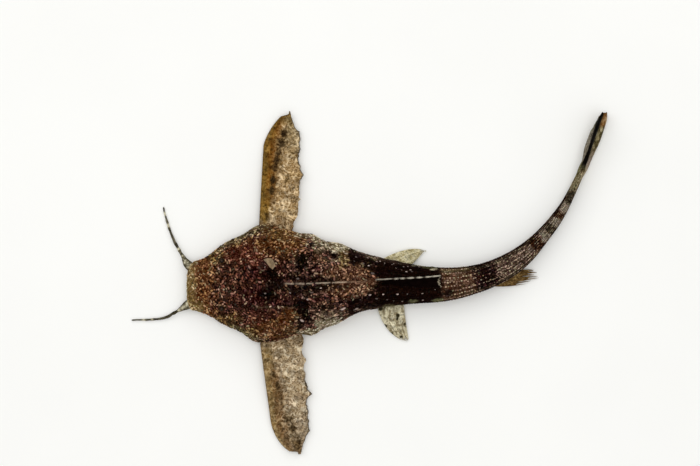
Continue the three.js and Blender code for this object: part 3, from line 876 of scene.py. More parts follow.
def underside(points: Array, normals: Array) -> Array:
    """How far places of the straight fish belong to the belly, from 0 to 1."""
    edge = PROFILE.section(points[:, 0]).edge
    return ease(edge - points[:, 2], 0.3, 1.6) * ease(-normals[:, 2], -0.1, 0.5)


def apply_modifier(piece: Piece, kind: str, **settings: Any) -> None:
    """Adds a modifier with its settings and applies it."""
    choose(piece)
    made = piece.modifiers.new(kind.lower(), kind)
    for name, setting in settings.items():
        setattr(made, name, setting)
    bpy.ops.object.modifier_apply(modifier=made.name)


def turn_outward(piece: Piece) -> None:
    """Merges doubled vertices and turns every face outward."""
    choose(piece)
    edit()
    bpy.ops.mesh.remove_doubles(threshold=1e-5)
    bpy.ops.mesh.normals_make_consistent(inside=False)
    bpy.ops.object.mode_set(mode="OBJECT")


def hand_over(piece: Piece, material: Material) -> Piece:
    """Finishes a piece: metres, smooth faces, its material, and the body that it rides on.

    Args:
        piece: The piece in millimetres, in its place.
        material: Its finish.

    Returns:
        The same piece.
    """
    write_points(piece, read_points(piece) * MM)
    choose(piece)
    bpy.ops.object.shade_smooth()
    piece.data.materials.clear()
    piece.data.materials.append(material)
    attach(piece, BODY)
    LOG.info("%s: %d faces", piece.name, len(piece.data.polygons))
    return piece


@dataclass
class Skin:
    """The skin of head, trunk and tail as one shell."""

    around: int = 150
    ring_count: int = 380
    voxel: float = 0.205
    crest_front: float = 0.42
    crest_rear: float = 0.8
    crest_width: float = 0.17
    crest_rise: float = 0.2
    crest_start: float = 20.4
    crest_end: Pair = (38, 41)
    bare: Pair = (21, 39)
    wrinkle_size: float = 2.6
    wrinkle_depth: float = 0.13
    pucker_size: float = 0.7
    pucker_depth: float = 0.08
    nares: tuple[Pair, ...] = ((6.6, 3.65), (7.0, -3.95))
    nare_radius: float = 0.34
    nare_depth: float = 0.4
    nare_rim: float = 0.58
    nare_rim_width: float = 0.2
    nare_rim_rise: float = 0.16
    mouth_half: float = 4.4
    mouth_height: float = 1.75
    mouth_width: float = 0.2
    mouth_depth: float = 0.5
    mouth_reach: float = 3.2
    upper_lip: float = 0.12
    lower_lip: float = 0.1
    lip_off: float = 0.5
    lip_width: float = 0.25
    gill_at: float = 17.2
    gill_side: float = 7.2
    gill_length: float = 1.5
    gill_width: float = 0.22
    gill_depth: float = 0.45
    gill_curve: float = 0.35
    cover_off: float = 0.5
    cover_width: float = 0.3
    cover_rise: float = 0.15
    crest_tone: Tint = Tint((186, 170, 148), (206, 192, 172))
    # Painted shade for the carved nostril pits and mouth slit.
    pit_shade_tone: Tint = Tint((22, 12, 6), (22, 12, 6))
    straight: Array = field(default_factory=lambda: np.zeros((0, 3)))
    normals: Array = field(default_factory=lambda: np.zeros((0, 3)))
    corners: Array = field(default_factory=lambda: np.zeros((0, 3), dtype=int))

    def build(self, material: Material) -> Piece:
        """Models the shell straight, colours it and bends it."""
        piece = add_sphere("fish_skin", self.around, self.ring_count)
        latitude, turn = unroll(piece)
        s, opening = PROFILE.rings(latitude)
        write_points(piece, PROFILE.skin(s, turn, opening))
        turn_outward(piece)
        apply_modifier(piece, "REMESH", mode="VOXEL", voxel_size=self.voxel, use_smooth_shade=True)
        apply_modifier(piece, "SMOOTH", factor=0.5, iterations=3)
        write_points(piece, self.carve(read_points(piece), read_normals(piece)))
        self.straight = read_points(piece)
        self.normals = read_normals(piece)
        piece.data.calc_loop_triangles()
        corners = np.empty(len(piece.data.loop_triangles) * 3, dtype=np.int32)
        piece.data.loop_triangles.foreach_get("vertices", corners)
        self.corners = corners.reshape(-1, 3)
        coat = self.colours()
        write_colours(piece, coat.ground, coat.fleck)
        write_points(piece, MIDLINE.place(*self.straight.T))
        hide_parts(CAD_NODE)
        return hand_over(piece, material)

    def crest_line(self, s: Array) -> Array:
        """How far to the fish's right the fine crest runs."""
        return lerp(self.crest_front, self.crest_rear, ease(s, 25, 37))

    def crest(self, s: Array, side: Array, width: float, start: float) -> Array:
        """How much of the fine crest there is at each place."""
        run = ease(s, start, start + 1) * (1 - ease(s, *self.crest_end))
        return bump(side, self.crest_line(s), width) * run

    def on_crest(self, points: Array) -> Array:
        """Whether places of the straight fish lie on the fine crest, which has no grains."""
        s, side, height = points.T
        part = PROFILE.section(s)
        near = np.abs(side - self.crest_line(s)) < 1.3 * self.crest_width
        return near & (height > part.edge + 1) & (s > self.bare[0]) & (s < self.bare[1])

    def carve(self, points: Array, normals: Array) -> Array:
        """Raises the fine crest and wrinkles, and sinks the mouth, the nostril pits and the gill slits."""
        s, side, height = points.T
        part = PROFILE.section(s)
        off = side - part.sway
        upper = ease(height, part.edge, part.edge + 1.0)
        under = ease(-normals[:, 2], 0.2, 0.8)
        raised = self.wrinkle_depth * ripple(points, self.wrinkle_size)
        raised += self.pucker_depth * ripple(points, self.pucker_size, 5.3)
        raised *= lerp(1.0, 0.5, ease(s, 50, 75))
        beads = 0.8 + 0.3 * ripple(points * (1, 0, 0), 0.8, 2.0)
        crest = self.crest(s, side, self.crest_width, self.crest_start)
        raised += upper * self.crest_rise * beads * crest
        for at, line in self.nares:
            away = np.hypot(s - at, side - line)
            raised += upper * self.nare_rim_rise * bump(away, self.nare_rim, self.nare_rim_width)
            raised -= upper * self.nare_depth * bump(away, 0, self.nare_radius)
        lips = 1 - ease(np.abs(off), self.mouth_half - 0.5, self.mouth_half + 0.3)
        front = (1 - ease(s, self.mouth_reach - 0.8, self.mouth_reach)) * lips
        raised -= front * self.mouth_depth * bump(height, self.mouth_height, self.mouth_width)
        for rise, off_mouth in ((self.upper_lip, self.lip_off), (self.lower_lip, -self.lip_off)):
            raised += front * rise * bump(height, self.mouth_height + off_mouth, self.lip_width)
        curve = self.gill_side + self.gill_curve * ((s - self.gill_at) / self.gill_length) ** 2
        slit = bump(np.abs(off), curve, self.gill_width) * bump(s, self.gill_at, self.gill_length)
        raised -= under * self.gill_depth * slit
        cover = bump(np.abs(off), curve + self.cover_off, self.cover_width)
        raised += under * self.cover_rise * cover * bump(s, self.gill_at, self.gill_length)
        carved = points + normals * raised[:, None]
        carved[:, 2] = np.maximum(carved[:, 2], 0.0)
        return carved

    def colours(self) -> Coat:
        """The shell's colours between its grains and on them, with painted shade in the nostril pits and the
        mouth slit.
        """
        s, side, height = self.straight.T
        part = PROFILE.section(s)
        coat = PIGMENT.paint(s, side, underside(self.straight, self.normals))
        upper = ease(height, part.edge, part.edge + 1.0)
        gaps = ease(ripple(self.straight * (1, 0, 0), 1.1, 4.0), -0.55, -0.25)
        crest = self.crest(s, side, self.crest_width + 0.01, self.crest_start + 0.4)
        coat.lay(upper * crest * gaps * lerp(0.95, 0.4, ease(s, 33, 36)), self.crest_tone)
        # Painted shade: the carved nostril pits and mouth slit are painted near black, as the shade inside
        # them.
        dark = np.zeros(len(s))
        for at, line in self.nares:
            dark = np.maximum(dark, upper * bump(np.hypot(s - at, side - line), 0, 0.36))
        lips = 1 - ease(np.abs(side - part.sway), self.mouth_half - 0.3, self.mouth_half + 0.4)
        front = (1 - ease(s, self.mouth_reach - 0.6, self.mouth_reach + 0.3)) * lips
        coat.lay(0.9 * np.maximum(dark, front * bump(height, self.mouth_height, 0.2)), self.pit_shade_tone)
        return coat


def dome(sides: int, rings: Sequence[Pair]) -> tuple[Array, Array, Array]:
    """One grain: a low closed dome.

    Args:
        sides: How many sides it has seen from above.
        rings: The radius and height of each ring, from its foot up.

    Returns:
        Its vertices, its triangles, and how far up each vertex is, from 0 to 1.
    """
    angles = 2 * np.pi * np.arange(sides) / sides
    circles = [rows(r * np.cos(angles), r * np.sin(angles), h) for r, h in rings]
    points = np.concatenate([*circles, [[0, 0, 1.0]]])
    faces: list[tuple[int, int, int]] = []
    for low in range(0, (len(rings) - 1) * sides, sides):
        for k in range(sides):
            a, b = low + k, low + (k + 1) % sides
            faces += [(a, b, b + sides), (a, b + sides, a + sides)]
    top = len(points) - 1
    last = (len(rings) - 1) * sides
    faces += [(last + k, last + (k + 1) % sides, top) for k in range(sides)]
    faces += [(0, k + 1, k) for k in range(1, sides - 1)]
    return points, np.array(faces), np.clip(points[:, 2], 0, 1)


GRAIN = dome(6, ((1.0, -0.35), (0.72, 0.55)))
TUBERCLE = dome(9, ((1.0, -0.3), (0.9, 0.3), (0.55, 0.82)))


@dataclass
class Grains:
    """Many grains as one joined mesh: where each stands, which way it lies, its sizes and its colours."""

    points: Array
    normals: Array
    along: Array
    sizes: Array
    ground: Array
    tops: Array
    shape: tuple[Array, Array, Array] = GRAIN

    def only(self, chosen: Array) -> "Grains":
        """The chosen ones of the grains."""
        columns = (self.points, self.normals, self.along, self.sizes, self.ground, self.tops)
        return Grains(*(column[chosen] for column in columns), self.shape)

    def build(self, name: str, material: Material, bent: bool = True) -> Piece:
        """Joins the grains into one piece.

        Args:
            name: The piece's name.
            material: Its finish.
            bent: Whether the grains stand on the straight fish and still have to be bent.

        Returns:
            The finished piece.
        """
        shape, triangles, rise = self.shape
        across = unit(np.cross(self.normals, self.along))
        along = np.cross(across, self.normals)
        axes = np.stack([along, across, self.normals], axis=1)
        placed = np.einsum("nj,mj,njk->nmk", self.sizes, shape, axes) + self.points[:, None, :]
        placed[..., 2] = np.maximum(placed[..., 2], 0.0)
        flat = placed.reshape(-1, 3)
        if bent:
            flat = MIDLINE.place(*flat.T)
        faces = (triangles[None] + (np.arange(len(self.points)) * len(shape))[:, None, None]).reshape(-1, 3)
        mesh = bpy.data.meshes.new(name)
        mesh.from_pydata(flat.tolist(), [], faces.tolist())
        piece = add_object(name, mesh)
        share = ease(rise, -0.1, 0.6)[None, :, None]
        colours = lerp(self.ground[:, None, :], self.tops[:, None, :], share)
        write_colours(piece, colours.reshape(-1, 3))
        return hand_over(piece, material)


@dataclass(frozen=True)
class Horn:
    """The colours of the grains' tops, from as dark as the skin to cream."""

    cream: Rgb = (214, 196, 166)
    dark: float = 0.75
    bright: float = 1.22
    pale_from: float = 0.7
    cream_from: float = 0.72
    cream_over: float = 0.38
    faded_share: float = 0.16
    faded: float = 0.6
    faded_tone: Point = (1.0, 0.96, 0.76)
    flush: float = 4.0
    flush_tone: Point = (1, 0.6, 0.9)

    def tops(self, coat: Coat, tone: Array, rng: np.random.Generator) -> Array:
        """Colours the tops of grains.

        Args:
            coat: The skin's colours between the grains and on its flecks.
            tone: From 0 for a grain as dark as the skin to 1 for the palest.
            rng: Gives each grain a slight flush of its own.

        Returns:
            Display colours, one row for each grain.
        """
        tone = tone[:, None]
        cream = lerp(coat.fleck * self.bright, np.array(self.cream), 0.5)
        tops = lerp(coat.ground * self.dark, coat.fleck, np.minimum(tone / self.pale_from, 1.0))
        tops = lerp(tops, cream, np.clip((tone - self.cream_from) / self.cream_over, 0, 1))
        faded = np.where(rng.random((len(tops), 1)) < self.faded_share, self.faded, 0.0)
        tops = lerp(tops, tops.mean(axis=1, keepdims=True) * self.faded_tone, faded)
        return np.clip(tops + rng.normal(0, self.flush, (len(tops), 3)) * self.flush_tone, 2, 250)


HORN = Horn()


@dataclass
class SkinGrains:
    """The horny grains that cover the head, the shoulders, the back and the belly."""

    seed: int = 11
    spacing: float = 0.43
    belly_spacing: float = 0.62
    tries: int = 60000
    rows_from: float = 41.5
    radius: float = 0.25
    height: float = 0.15
    widths: Pair = (0.6, 1.15)
    lengths: Pair = (1.0, 2.4)
    heights: Pair = (0.7, 1.15)
    clumping: float = 0.58
    floor_clear: float = 0.12
    head_to: float = 19.0

    def scatter(self, skin: Skin) -> tuple[Array, Array]:
        """Picks places spread evenly over the skin.

        Args:
            skin: The shell that they stand on.

        Returns:
            The places on the straight fish and the skin's directions there.
        """
        rng = np.random.default_rng(self.seed)
        a, b, c = (skin.straight[skin.corners[:, k]] for k in range(3))
        area = np.linalg.norm(np.cross(b - a, c - a), axis=1)
        area = np.where(a[:, 0] < self.rows_from + 1, area, 0)
        chosen = rng.choice(len(area), self.tries, p=area / area.sum())
        u, v = rng.random(self.tries), rng.random(self.tries)
        over = u + v > 1
        u, v = np.where(over, 1 - u, u)[:, None], np.where(over, 1 - v, v)[:, None]
        corner = skin.corners[chosen]
        points = skin.straight[corner[:, 0]] * (1 - u - v) + skin.straight[corner[:, 1]] * u
        points += skin.straight[corner[:, 2]] * v
        normals = skin.normals[corner[:, 0]]
        under = ease(-normals[:, 2], 0.0, 0.5)
        spacing = lerp(self.spacing, self.belly_spacing, under) * rng.uniform(0.85, 1.2, self.tries)
        tree = KDTree(self.tries)
        for index, point in enumerate(points.tolist()):
            tree.insert(point, index)
        tree.balance()
        free = np.ones(self.tries, dtype=bool)
        kept = []
        for index, point in enumerate(points.tolist()):
            if free[index]:
                kept.append(index)
                near = [found for _, found, _ in tree.find_range(point, float(spacing[index]))]
                free[near] = False
        keep = np.array(kept)
        keep = keep[(points[keep, 2] > self.floor_clear) & (points[keep, 0] < self.rows_from)]
        keep = keep[~skin.on_crest(points[keep])]
        return points[keep], normals[keep]

    def build(self, skin: Skin, material: Material) -> list[Piece]:
        """Makes the grains, a piece each for the head, the back and the belly."""
        points, normals = self.scatter(skin)
        rng = np.random.default_rng(self.seed + 1)
        count = len(points)
        s, side, _ = points.T
        under = underside(points, normals)
        coat = PIGMENT.paint(s, side, under, rng.normal(0, 0.5, count))
        clumps = 0.7 * ripple(points, 0.9, 2.6) + 0.35 * ripple(points, 2.6, 7.9)
        tone = np.clip(0.1 + 0.75 * rng.beta(1.1, 1.2, count) + self.clumping * clumps, 0, 1.1)
        tops = HORN.tops(coat, tone, rng)
        width = self.radius * rng.uniform(*self.widths, count)
        length = width * rng.uniform(*self.lengths, count)
        sizes = rows(length, width, self.height * rng.uniform(*self.heights, count))
        lie = 4 * ripple(points, 1.8, 3.1) + rng.normal(0, 0.35, count)
        along = rows(np.cos(lie), np.sin(lie), rng.normal(0, 0.3, count))
        grains = Grains(points, normals, along, sizes, coat.ground, tops)
        regions = {
            "head_grains": (s < self.head_to) & (under < 0.5),
            "back_grains": (s >= self.head_to) & (under < 0.5),
            "belly_grains": under >= 0.5,
        }
        return [grains.only(chosen).build(name, material) for name, chosen in regions.items()]


def skin_frame(s: Array, turn: Array) -> tuple[Array, Array]:
    """Places of the straight skin by their turn round the section, and the directions outward there."""
    step = 0.02
    here = PROFILE.skin(s, turn)
    ahead = PROFILE.skin(s + 5 * step, turn) - here
    round_ = PROFILE.skin(s, turn + step) - here
    return here, unit(np.cross(round_, ahead))


@dataclass
class TailRows:
    """The lengthwise rows of small grains on the rear of the trunk and on the tail.

    upper has the rows' places on the upper side, in half widths off the midline, and lower has the turns in
    degrees of those under the edges.
    """

    upper: tuple[float, ...] = (0.0, 0.13, 0.27, 0.4, 0.53, 0.66, 0.77, 0.87, 0.95, 0.995)
    lower: tuple[float, ...] = (8, 22, 38, 54, 70)
    start: float = 41.0
    end: float = 96.5
    pitch: float = 0.5
    floor_clear: float = 0.15
    seed: int = 23

    def build(self, material: Material) -> Piece:
        """Makes all rows as one piece."""
        rng = np.random.default_rng(self.seed)
        places: list[tuple[float, float, float, float]] = []
        above = [(-1.0, u) for u in self.upper[1:]] + [(1.0, u) for u in self.upper]
        lines = [(sign, u, 0.0) for sign, u in above]
        lines += [(sign, 1.0, -math.radians(turn)) for sign in (-1.0, 1.0) for turn in self.lower]
        for number, (sign, u, below) in enumerate(lines):
            s = self.start + self.pitch * rng.random()
            while s < self.end:
                places.append((s, sign * u, below, number))
                s += self.pitch * rng.uniform(0.75, 1.35) * lerp(1.0, 0.75, ease(s, 56, 90))
        s, u, below, number = np.array(places).T
        part = PROFILE.section(s)
        cosine = np.sign(u) * np.minimum(np.abs(u), 1.0) ** (part.crown / 2)
        turn = np.where(below < 0, np.where(u > 0, below, np.pi - below), np.arccos(cosine))
        turn = turn + rng.normal(0, 0.02, len(s))
        points, normals = skin_frame(s, turn)
        under = ease(-normals[:, 2], 0.1, 0.7)
        count = len(s)
        coat = PIGMENT.paint(s, points[:, 1], under, rng.normal(0, 0.25, count))
        streaks = ripple(rows(s / 2.2, 7.0 * number, 0), 1.0, 0.4)
        major = 0.3 * np.where(number % 2 == 0, 1.0, -1.0)
        quiet = 1 - 0.6 * ease(s, 39, 42) * (1 - ease(s, 54.5, 56))
        pale = np.clip(rng.beta(1.1, 1.2, count) + 0.4 * streaks + major, 0, 1.1) * quiet
        tops = HORN.tops(coat, pale, rng)
        width = np.clip(0.062 * part.half, 0.07, 0.2) * rng.uniform(0.85, 1.25, count)
        sizes = rows(0.6 * self.pitch * rng.uniform(0.7, 1.1, count), width, 0.7 * width)
        along = np.tile([1.0, 0, 0], (count, 1))
        grains = Grains(points, normals, along, sizes, coat.ground, tops)
        return grains.only(points[:, 2] > self.floor_clear).build("tail_rows", material)


@dataclass
class Tubercles:
    """The larger pale tubercles of the black flanks: s, side and radius of each."""

    placed: tuple[Point, ...] = (
        (36.6, 6.1, 0.42), (36.2, 5.1, 0.3), (38.1, 4.7, 0.28), (37.1, 3.3, 0.34), (39.2, 4.3, 0.26),
        (41.0, 5.0, 0.36), (42.6, 4.4, 0.3), (40.0, 2.6, 0.36), (46.7, 4.0, 0.24), (47.9, 4.05, 0.26),
        (49.3, 4.0, 0.3), (51.0, 3.9, 0.26), (47.5, 2.9, 0.26), (48.5, 2.95, 0.22), (44.6, 4.5, 0.2),
        (42.7, -1.85, 0.3), (45.4, -2.0, 0.3), (47.6, -2.0, 0.34), (49.6, -2.05, 0.24), (50.9, -1.9, 0.32),
        (41.1, -3.05, 0.32), (43.3, -3.1, 0.28), (44.7, -3.2, 0.2), (46.8, -3.3, 0.28), (51.0, -3.2, 0.28),
        (39.8, -2.2, 0.36), (37.8, -3.1, 0.24), (36.4, -5.3, 0.4), (33.9, -4.9, 0.42), (38.5, -3.9, 0.22),
        (53.6, -1.1, 0.24), (41.9, 5.2, 0.3), (42.9, 4.7, 0.24), (44.3, 4.3, 0.28), (45.0, 3.6, 0.22),
        (46.5, 3.2, 0.24), (48.2, 3.3, 0.3), (50.2, 3.8, 0.28), (45.5, 4.6, 0.2), (39.4, 6.0, 0.3),
        (34.0, -5.0, 0.5), (26.4, -2.9, 0.42), (36.6, -5.1, 0.42), (25.1, -7.6, 0.46), (40.1, 2.5, 0.42),
        (17.3, -1.7, 0.4), (24.4, 1.4, 0.36), (29.2, -0.6, 0.3), (27.5, 2.4, 0.4), (22.4, -1.4, 0.3),
    )
    tint: Tint = Tint((30, 20, 16), (164, 146, 138))
    shrink: float = 0.72
    brightness: Pair = (0.55, 1.25)
    lengths: Pair = (1.2, 1.7)
    rise: float = 0.5
    seed: int = 31

    def build(self, material: Material) -> Piece:
        """Makes the tubercles as one piece."""
        rng = np.random.default_rng(self.seed)
        s, side, radius = np.array(self.placed).T
        s = s + rng.normal(0, 0.15, len(s))
        side = side + rng.normal(0, 0.1, len(s))
        step = 0.05
        height = PROFILE.back_height(s, side)
        points = rows(s, side, height)
        slope_along = (PROFILE.back_height(s + step, side) - height) / step
        slope_across = (PROFILE.back_height(s, side + step) - height) / step
        normals = unit(rows(-slope_along, -slope_across, 1.0))
        count = len(s)
        coat = Coat(count, self.tint)
        tops = coat.fleck * rng.uniform(*self.brightness, (count, 1))
        radius = radius * self.shrink
        sizes = rows(radius * rng.uniform(*self.lengths, count), radius, radius * self.rise)
        along = np.tile([1.0, 0, 0], (count, 1)) + rng.normal(0, 0.2, (count, 3))
        grains = Grains(points, normals, along, sizes, coat.ground, tops, TUBERCLE)
        return grains.build("flank_tubercles", material)


@dataclass(frozen=True)
class Route:
    """A smooth curve through places, with the pace of its steps set by the gaps between them."""

    stops: tuple[Point, ...]

    def points(self, count: int) -> Array:
        """Evenly spaced places along the curve."""
        stops = np.array(self.stops)
        ends = np.concatenate([[2 * stops[0] - stops[1]], stops, [2 * stops[-1] - stops[-2]]])
        fine = []
        for k in range(len(stops) - 1):
            p0, p1, p2, p3 = ends[k : k + 4]
            gaps = [max(np.linalg.norm(b - a), 1e-6) ** 0.5 for a, b in ((p0, p1), (p1, p2), (p2, p3))]
            lead = (p1 - p0) / gaps[0] - (p2 - p0) / (gaps[0] + gaps[1]) + (p2 - p1) / gaps[1]
            trail = (p2 - p1) / gaps[1] - (p3 - p1) / (gaps[1] + gaps[2]) + (p3 - p2) / gaps[2]
            lead, trail = lead * gaps[1], trail * gaps[1]
            t = np.linspace(0, 1, 40, endpoint=k == len(stops) - 2)[:, None]
            cubic = 2 * p1 - 2 * p2 + lead + trail
            square = -3 * p1 + 3 * p2 - 2 * lead - trail
            fine.append(cubic * t**3 + square * t**2 + lead * t + p1)
        path = np.concatenate(fine)
        run = np.concatenate([[0], np.cumsum(np.linalg.norm(np.diff(path, axis=0), axis=1))])
        wanted = np.linspace(0, run[-1], count)
        return rows(*(np.interp(wanted, run, column) for column in path.T))


def round_body(
    name: str, path: Array, radius: Callable[[Array], Array], around: int, flat: float = 1.0
) -> Piece:
    """A tapered round piece along a path, closed at both ends.

    Args:
        name: The piece's name.
        path: Evenly spaced places from its root to its tip.
        radius: The radius for shares of the way along.
        around: How many sides it has.
        flat: How tall the section is against its width.

    Returns:
        The closed piece in millimetres.
    """
    rings = len(path) - 1
    piece = add_sphere(name, around, rings)
    latitude, turn = unroll(piece)
    ring = np.clip(np.rint(latitude * rings).astype(int), 0, rings)
    ahead = unit(np.gradient(path, axis=0))
    aside = unit(np.cross(ahead, (0, 0, 1.0)))
    above = np.cross(aside, ahead)
    wide = radius(ring / rings) * np.where((ring == 0) | (ring == rings), 0.0, 1.0)
    points = path[ring] + (wide * np.cos(turn))[:, None] * aside[ring]
    points += (flat * wide * np.sin(turn))[:, None] * above[ring]
    write_points(piece, points)
    turn_outward(piece)
    return piece


def shares(points: Array, path: Array) -> Array:
    """How far along the path each point lies, as a share."""
    nearest = np.argmin(((points[:, None, :] - path[None]) ** 2).sum(axis=2), axis=1)
    return nearest / (len(path) - 1)


@dataclass(frozen=True)
class Barbel:
    """One barbel: its route, its thickness at both ends, its flap of skin at the root, and its dark bands."""

    name: str
    route: Route
    base: float
    tip: float
    bands: tuple[Pair, ...] = ()
    flap: float = 0.0
    flap_to: float = 0.27
    steps: int = 90
    around: int = 14
    dark: Rgb = (48, 42, 24)
    pale: Rgb = (186, 178, 152)
    root: Rgb = (118, 90, 50)
    fade: float = 0.015

    def build(self, material: Material) -> Piece:
        """Makes the barbel."""
        path = self.route.points(self.steps + 1)
        path += 0.05 * rows(*(ripple(path, 1.1, shift) for shift in (1.0, 2.0, 3.0)))
        path[:, 2] = np.maximum(path[:, 2], self.tip + 0.02)

        def radius(share: Array) -> Array:
            swollen = 1 + 0.12 * np.sin(40 * share + 2 * np.sin(17 * share))
            end = rounded(1 - share, 0.02)
            web = self.flap * (1 - ease(share, 0.08, self.flap_to))
            return lerp(self.base, self.tip, share**0.8) * swollen * end + web

        piece = round_body(self.name, path, radius, self.around, 0.6)
        points = read_points(piece)
        share = shares(points, path)
        dark = np.zeros(len(share))
        for start, end in self.bands:
            begun = ease(share, start - self.fade, start + self.fade)
            over = ease(share, end - self.fade, end + self.fade)
            dark = np.maximum(dark, begun * (1 - over))
        off = np.linalg.norm((points - path[np.rint(share * self.steps).astype(int)])[:, :2], axis=1)
        edge = ease(off / radius(share * 0.98), 0.45, 0.8)
        mottled = 0.75 * ease(ripple(points, 0.5, 5.1), -0.35, 0.25)
        dark = np.where((self.flap > 0) & (share < self.flap_to), np.maximum(0.95 * edge, mottled), dark)
        dark = np.clip(dark * (0.85 + 0.25 * ripple(points, 0.6, 1.7)), 0, 1)[:, None]
        faded = lerp(np.array(self.dark), 90.0, 0.5 * ease(share, 0.7, 1.0)[:, None])
        ground = lerp(np.array(self.pale), faded, dark)
        root = (1 - ease(share, 0.03, 0.12))[:, None]
        ground = lerp(ground, np.array(self.root), root)
        write_colours(piece, ground, paler(ground, 1.3, 14))
        return hand_over(piece, material)


@dataclass
class Barbels:
    """The two long barbels at the corners of the mouth and the four short ones of the chin."""

    right: Route = Route((
        (-17.6, 3.0, 2.4), (-19.3, 4.75, 2.3), (-20.9, 7.3, 1.5), (-22.45, 10.2, 0.8), (-23.95, 14.6, 0.45),
        (-24.5, 16.9, 0.4),
    ))
    left: Route = Route((
        (-17.4, -3.5, 2.3), (-19.4, -4.6, 2.1), (-21.8, -6.0, 1.3), (-23.9, -7.15, 0.8), (-26.5, -7.6, 0.5),
        (-31.5, -7.8, 0.4),
    ))
    right_bands: tuple[Pair, ...] = ((0.27, 0.36), (0.4, 0.71), (0.76, 0.87), (0.93, 1.0))
    left_bands: tuple[Pair, ...] = ((0.27, 0.69), (0.72, 0.8), (0.85, 1.0))
    chin: tuple[tuple[Point, ...], ...] = (
        ((-15.6, 1.9, 1.3), (-16.9, 2.4, 0.7), (-18.3, 2.7, 0.5)),
        ((-13.0, 3.4, 1.0), (-14.3, 4.4, 0.55), (-16.2, 4.6, 0.45)),
    )

    def build(self, material: Material) -> list[Piece]:
        """Makes all six barbels."""
        barbels = [
            Barbel("right_barbel", self.right, 0.46, 0.18, self.right_bands, 0.62),
            Barbel("left_barbel", self.left, 0.46, 0.17, self.left_bands, 0.66, 0.3),
        ]
        for number, stops in enumerate(self.chin, start=1):
            for side in Side:
                mirrored = tuple((x, y * side.value, z) for x, y, z in stops)
                name = side.label(f"chin_barbel_{number}")
                barbels.append(Barbel(name, Route(mirrored), 0.34, 0.18, steps=30, around=10))
        return [barbel.build(material) for barbel in barbels]


class Fin(Protocol):
    """What a plate follows, each for shares along and across the fin."""

    def surface(self, along: Array, across: Array) -> Array:
        """The middle surface."""

    def thickness(self, along: Array, across: Array) -> Array:
        """The thickness."""

    def paint(self, along: Array, across: Array, points: Array) -> Coat:
        """The colours."""


def lay_plate(fin: Fin, name: str, cells: tuple[int, int], material: Material) -> Piece:
    """Makes a thin wavy plate: a grid laid on a fin's surface and thickened to both sides.

    Args:
        fin: What the plate follows.
        name: The piece's name.
        cells: How many points it has along and across.
        material: Its finish.

    Returns:
        The finished piece.
    """
    piece = add_grid(name, *cells)
    along, across, _ = read_points(piece).T + 0.5
    points = fin.surface(along, across)
    write_points(piece, points)
    coat = fin.paint(along, across, points)
    write_colours(piece, coat.ground, coat.fleck)
    thick = fin.thickness(along, across)
    most = float(thick.max())
    group = piece.vertex_groups.new(name="thickness")
    for index, weight in enumerate((thick / most).tolist()):
        group.add([index], weight, "REPLACE")
    apply_modifier(piece, "SOLIDIFY", thickness=most, offset=0.0, vertex_group=group.name, use_rim=True)
    piece.vertex_groups.clear()
    turn_outward(piece)
    write_points(piece, np.maximum(read_points(piece), (-np.inf, -np.inf, PLATE_FLOOR_GAP)))
    return hand_over(piece, material)


PLATE_FLOOR_GAP = 0.12
THINNEST = 0.1
FIN_BLOTCH = Tint((38, 24, 8), (96, 74, 42))
FIN_RIM = Tint((66, 58, 46), (108, 98, 84))


@dataclass(frozen=True)
class Blotch:
    """A dark or pale spot on a fin, by its distance out along the fin and back across it."""

    out: float
    back: float
    long: float
    wide: float
    strength: float = 1.0


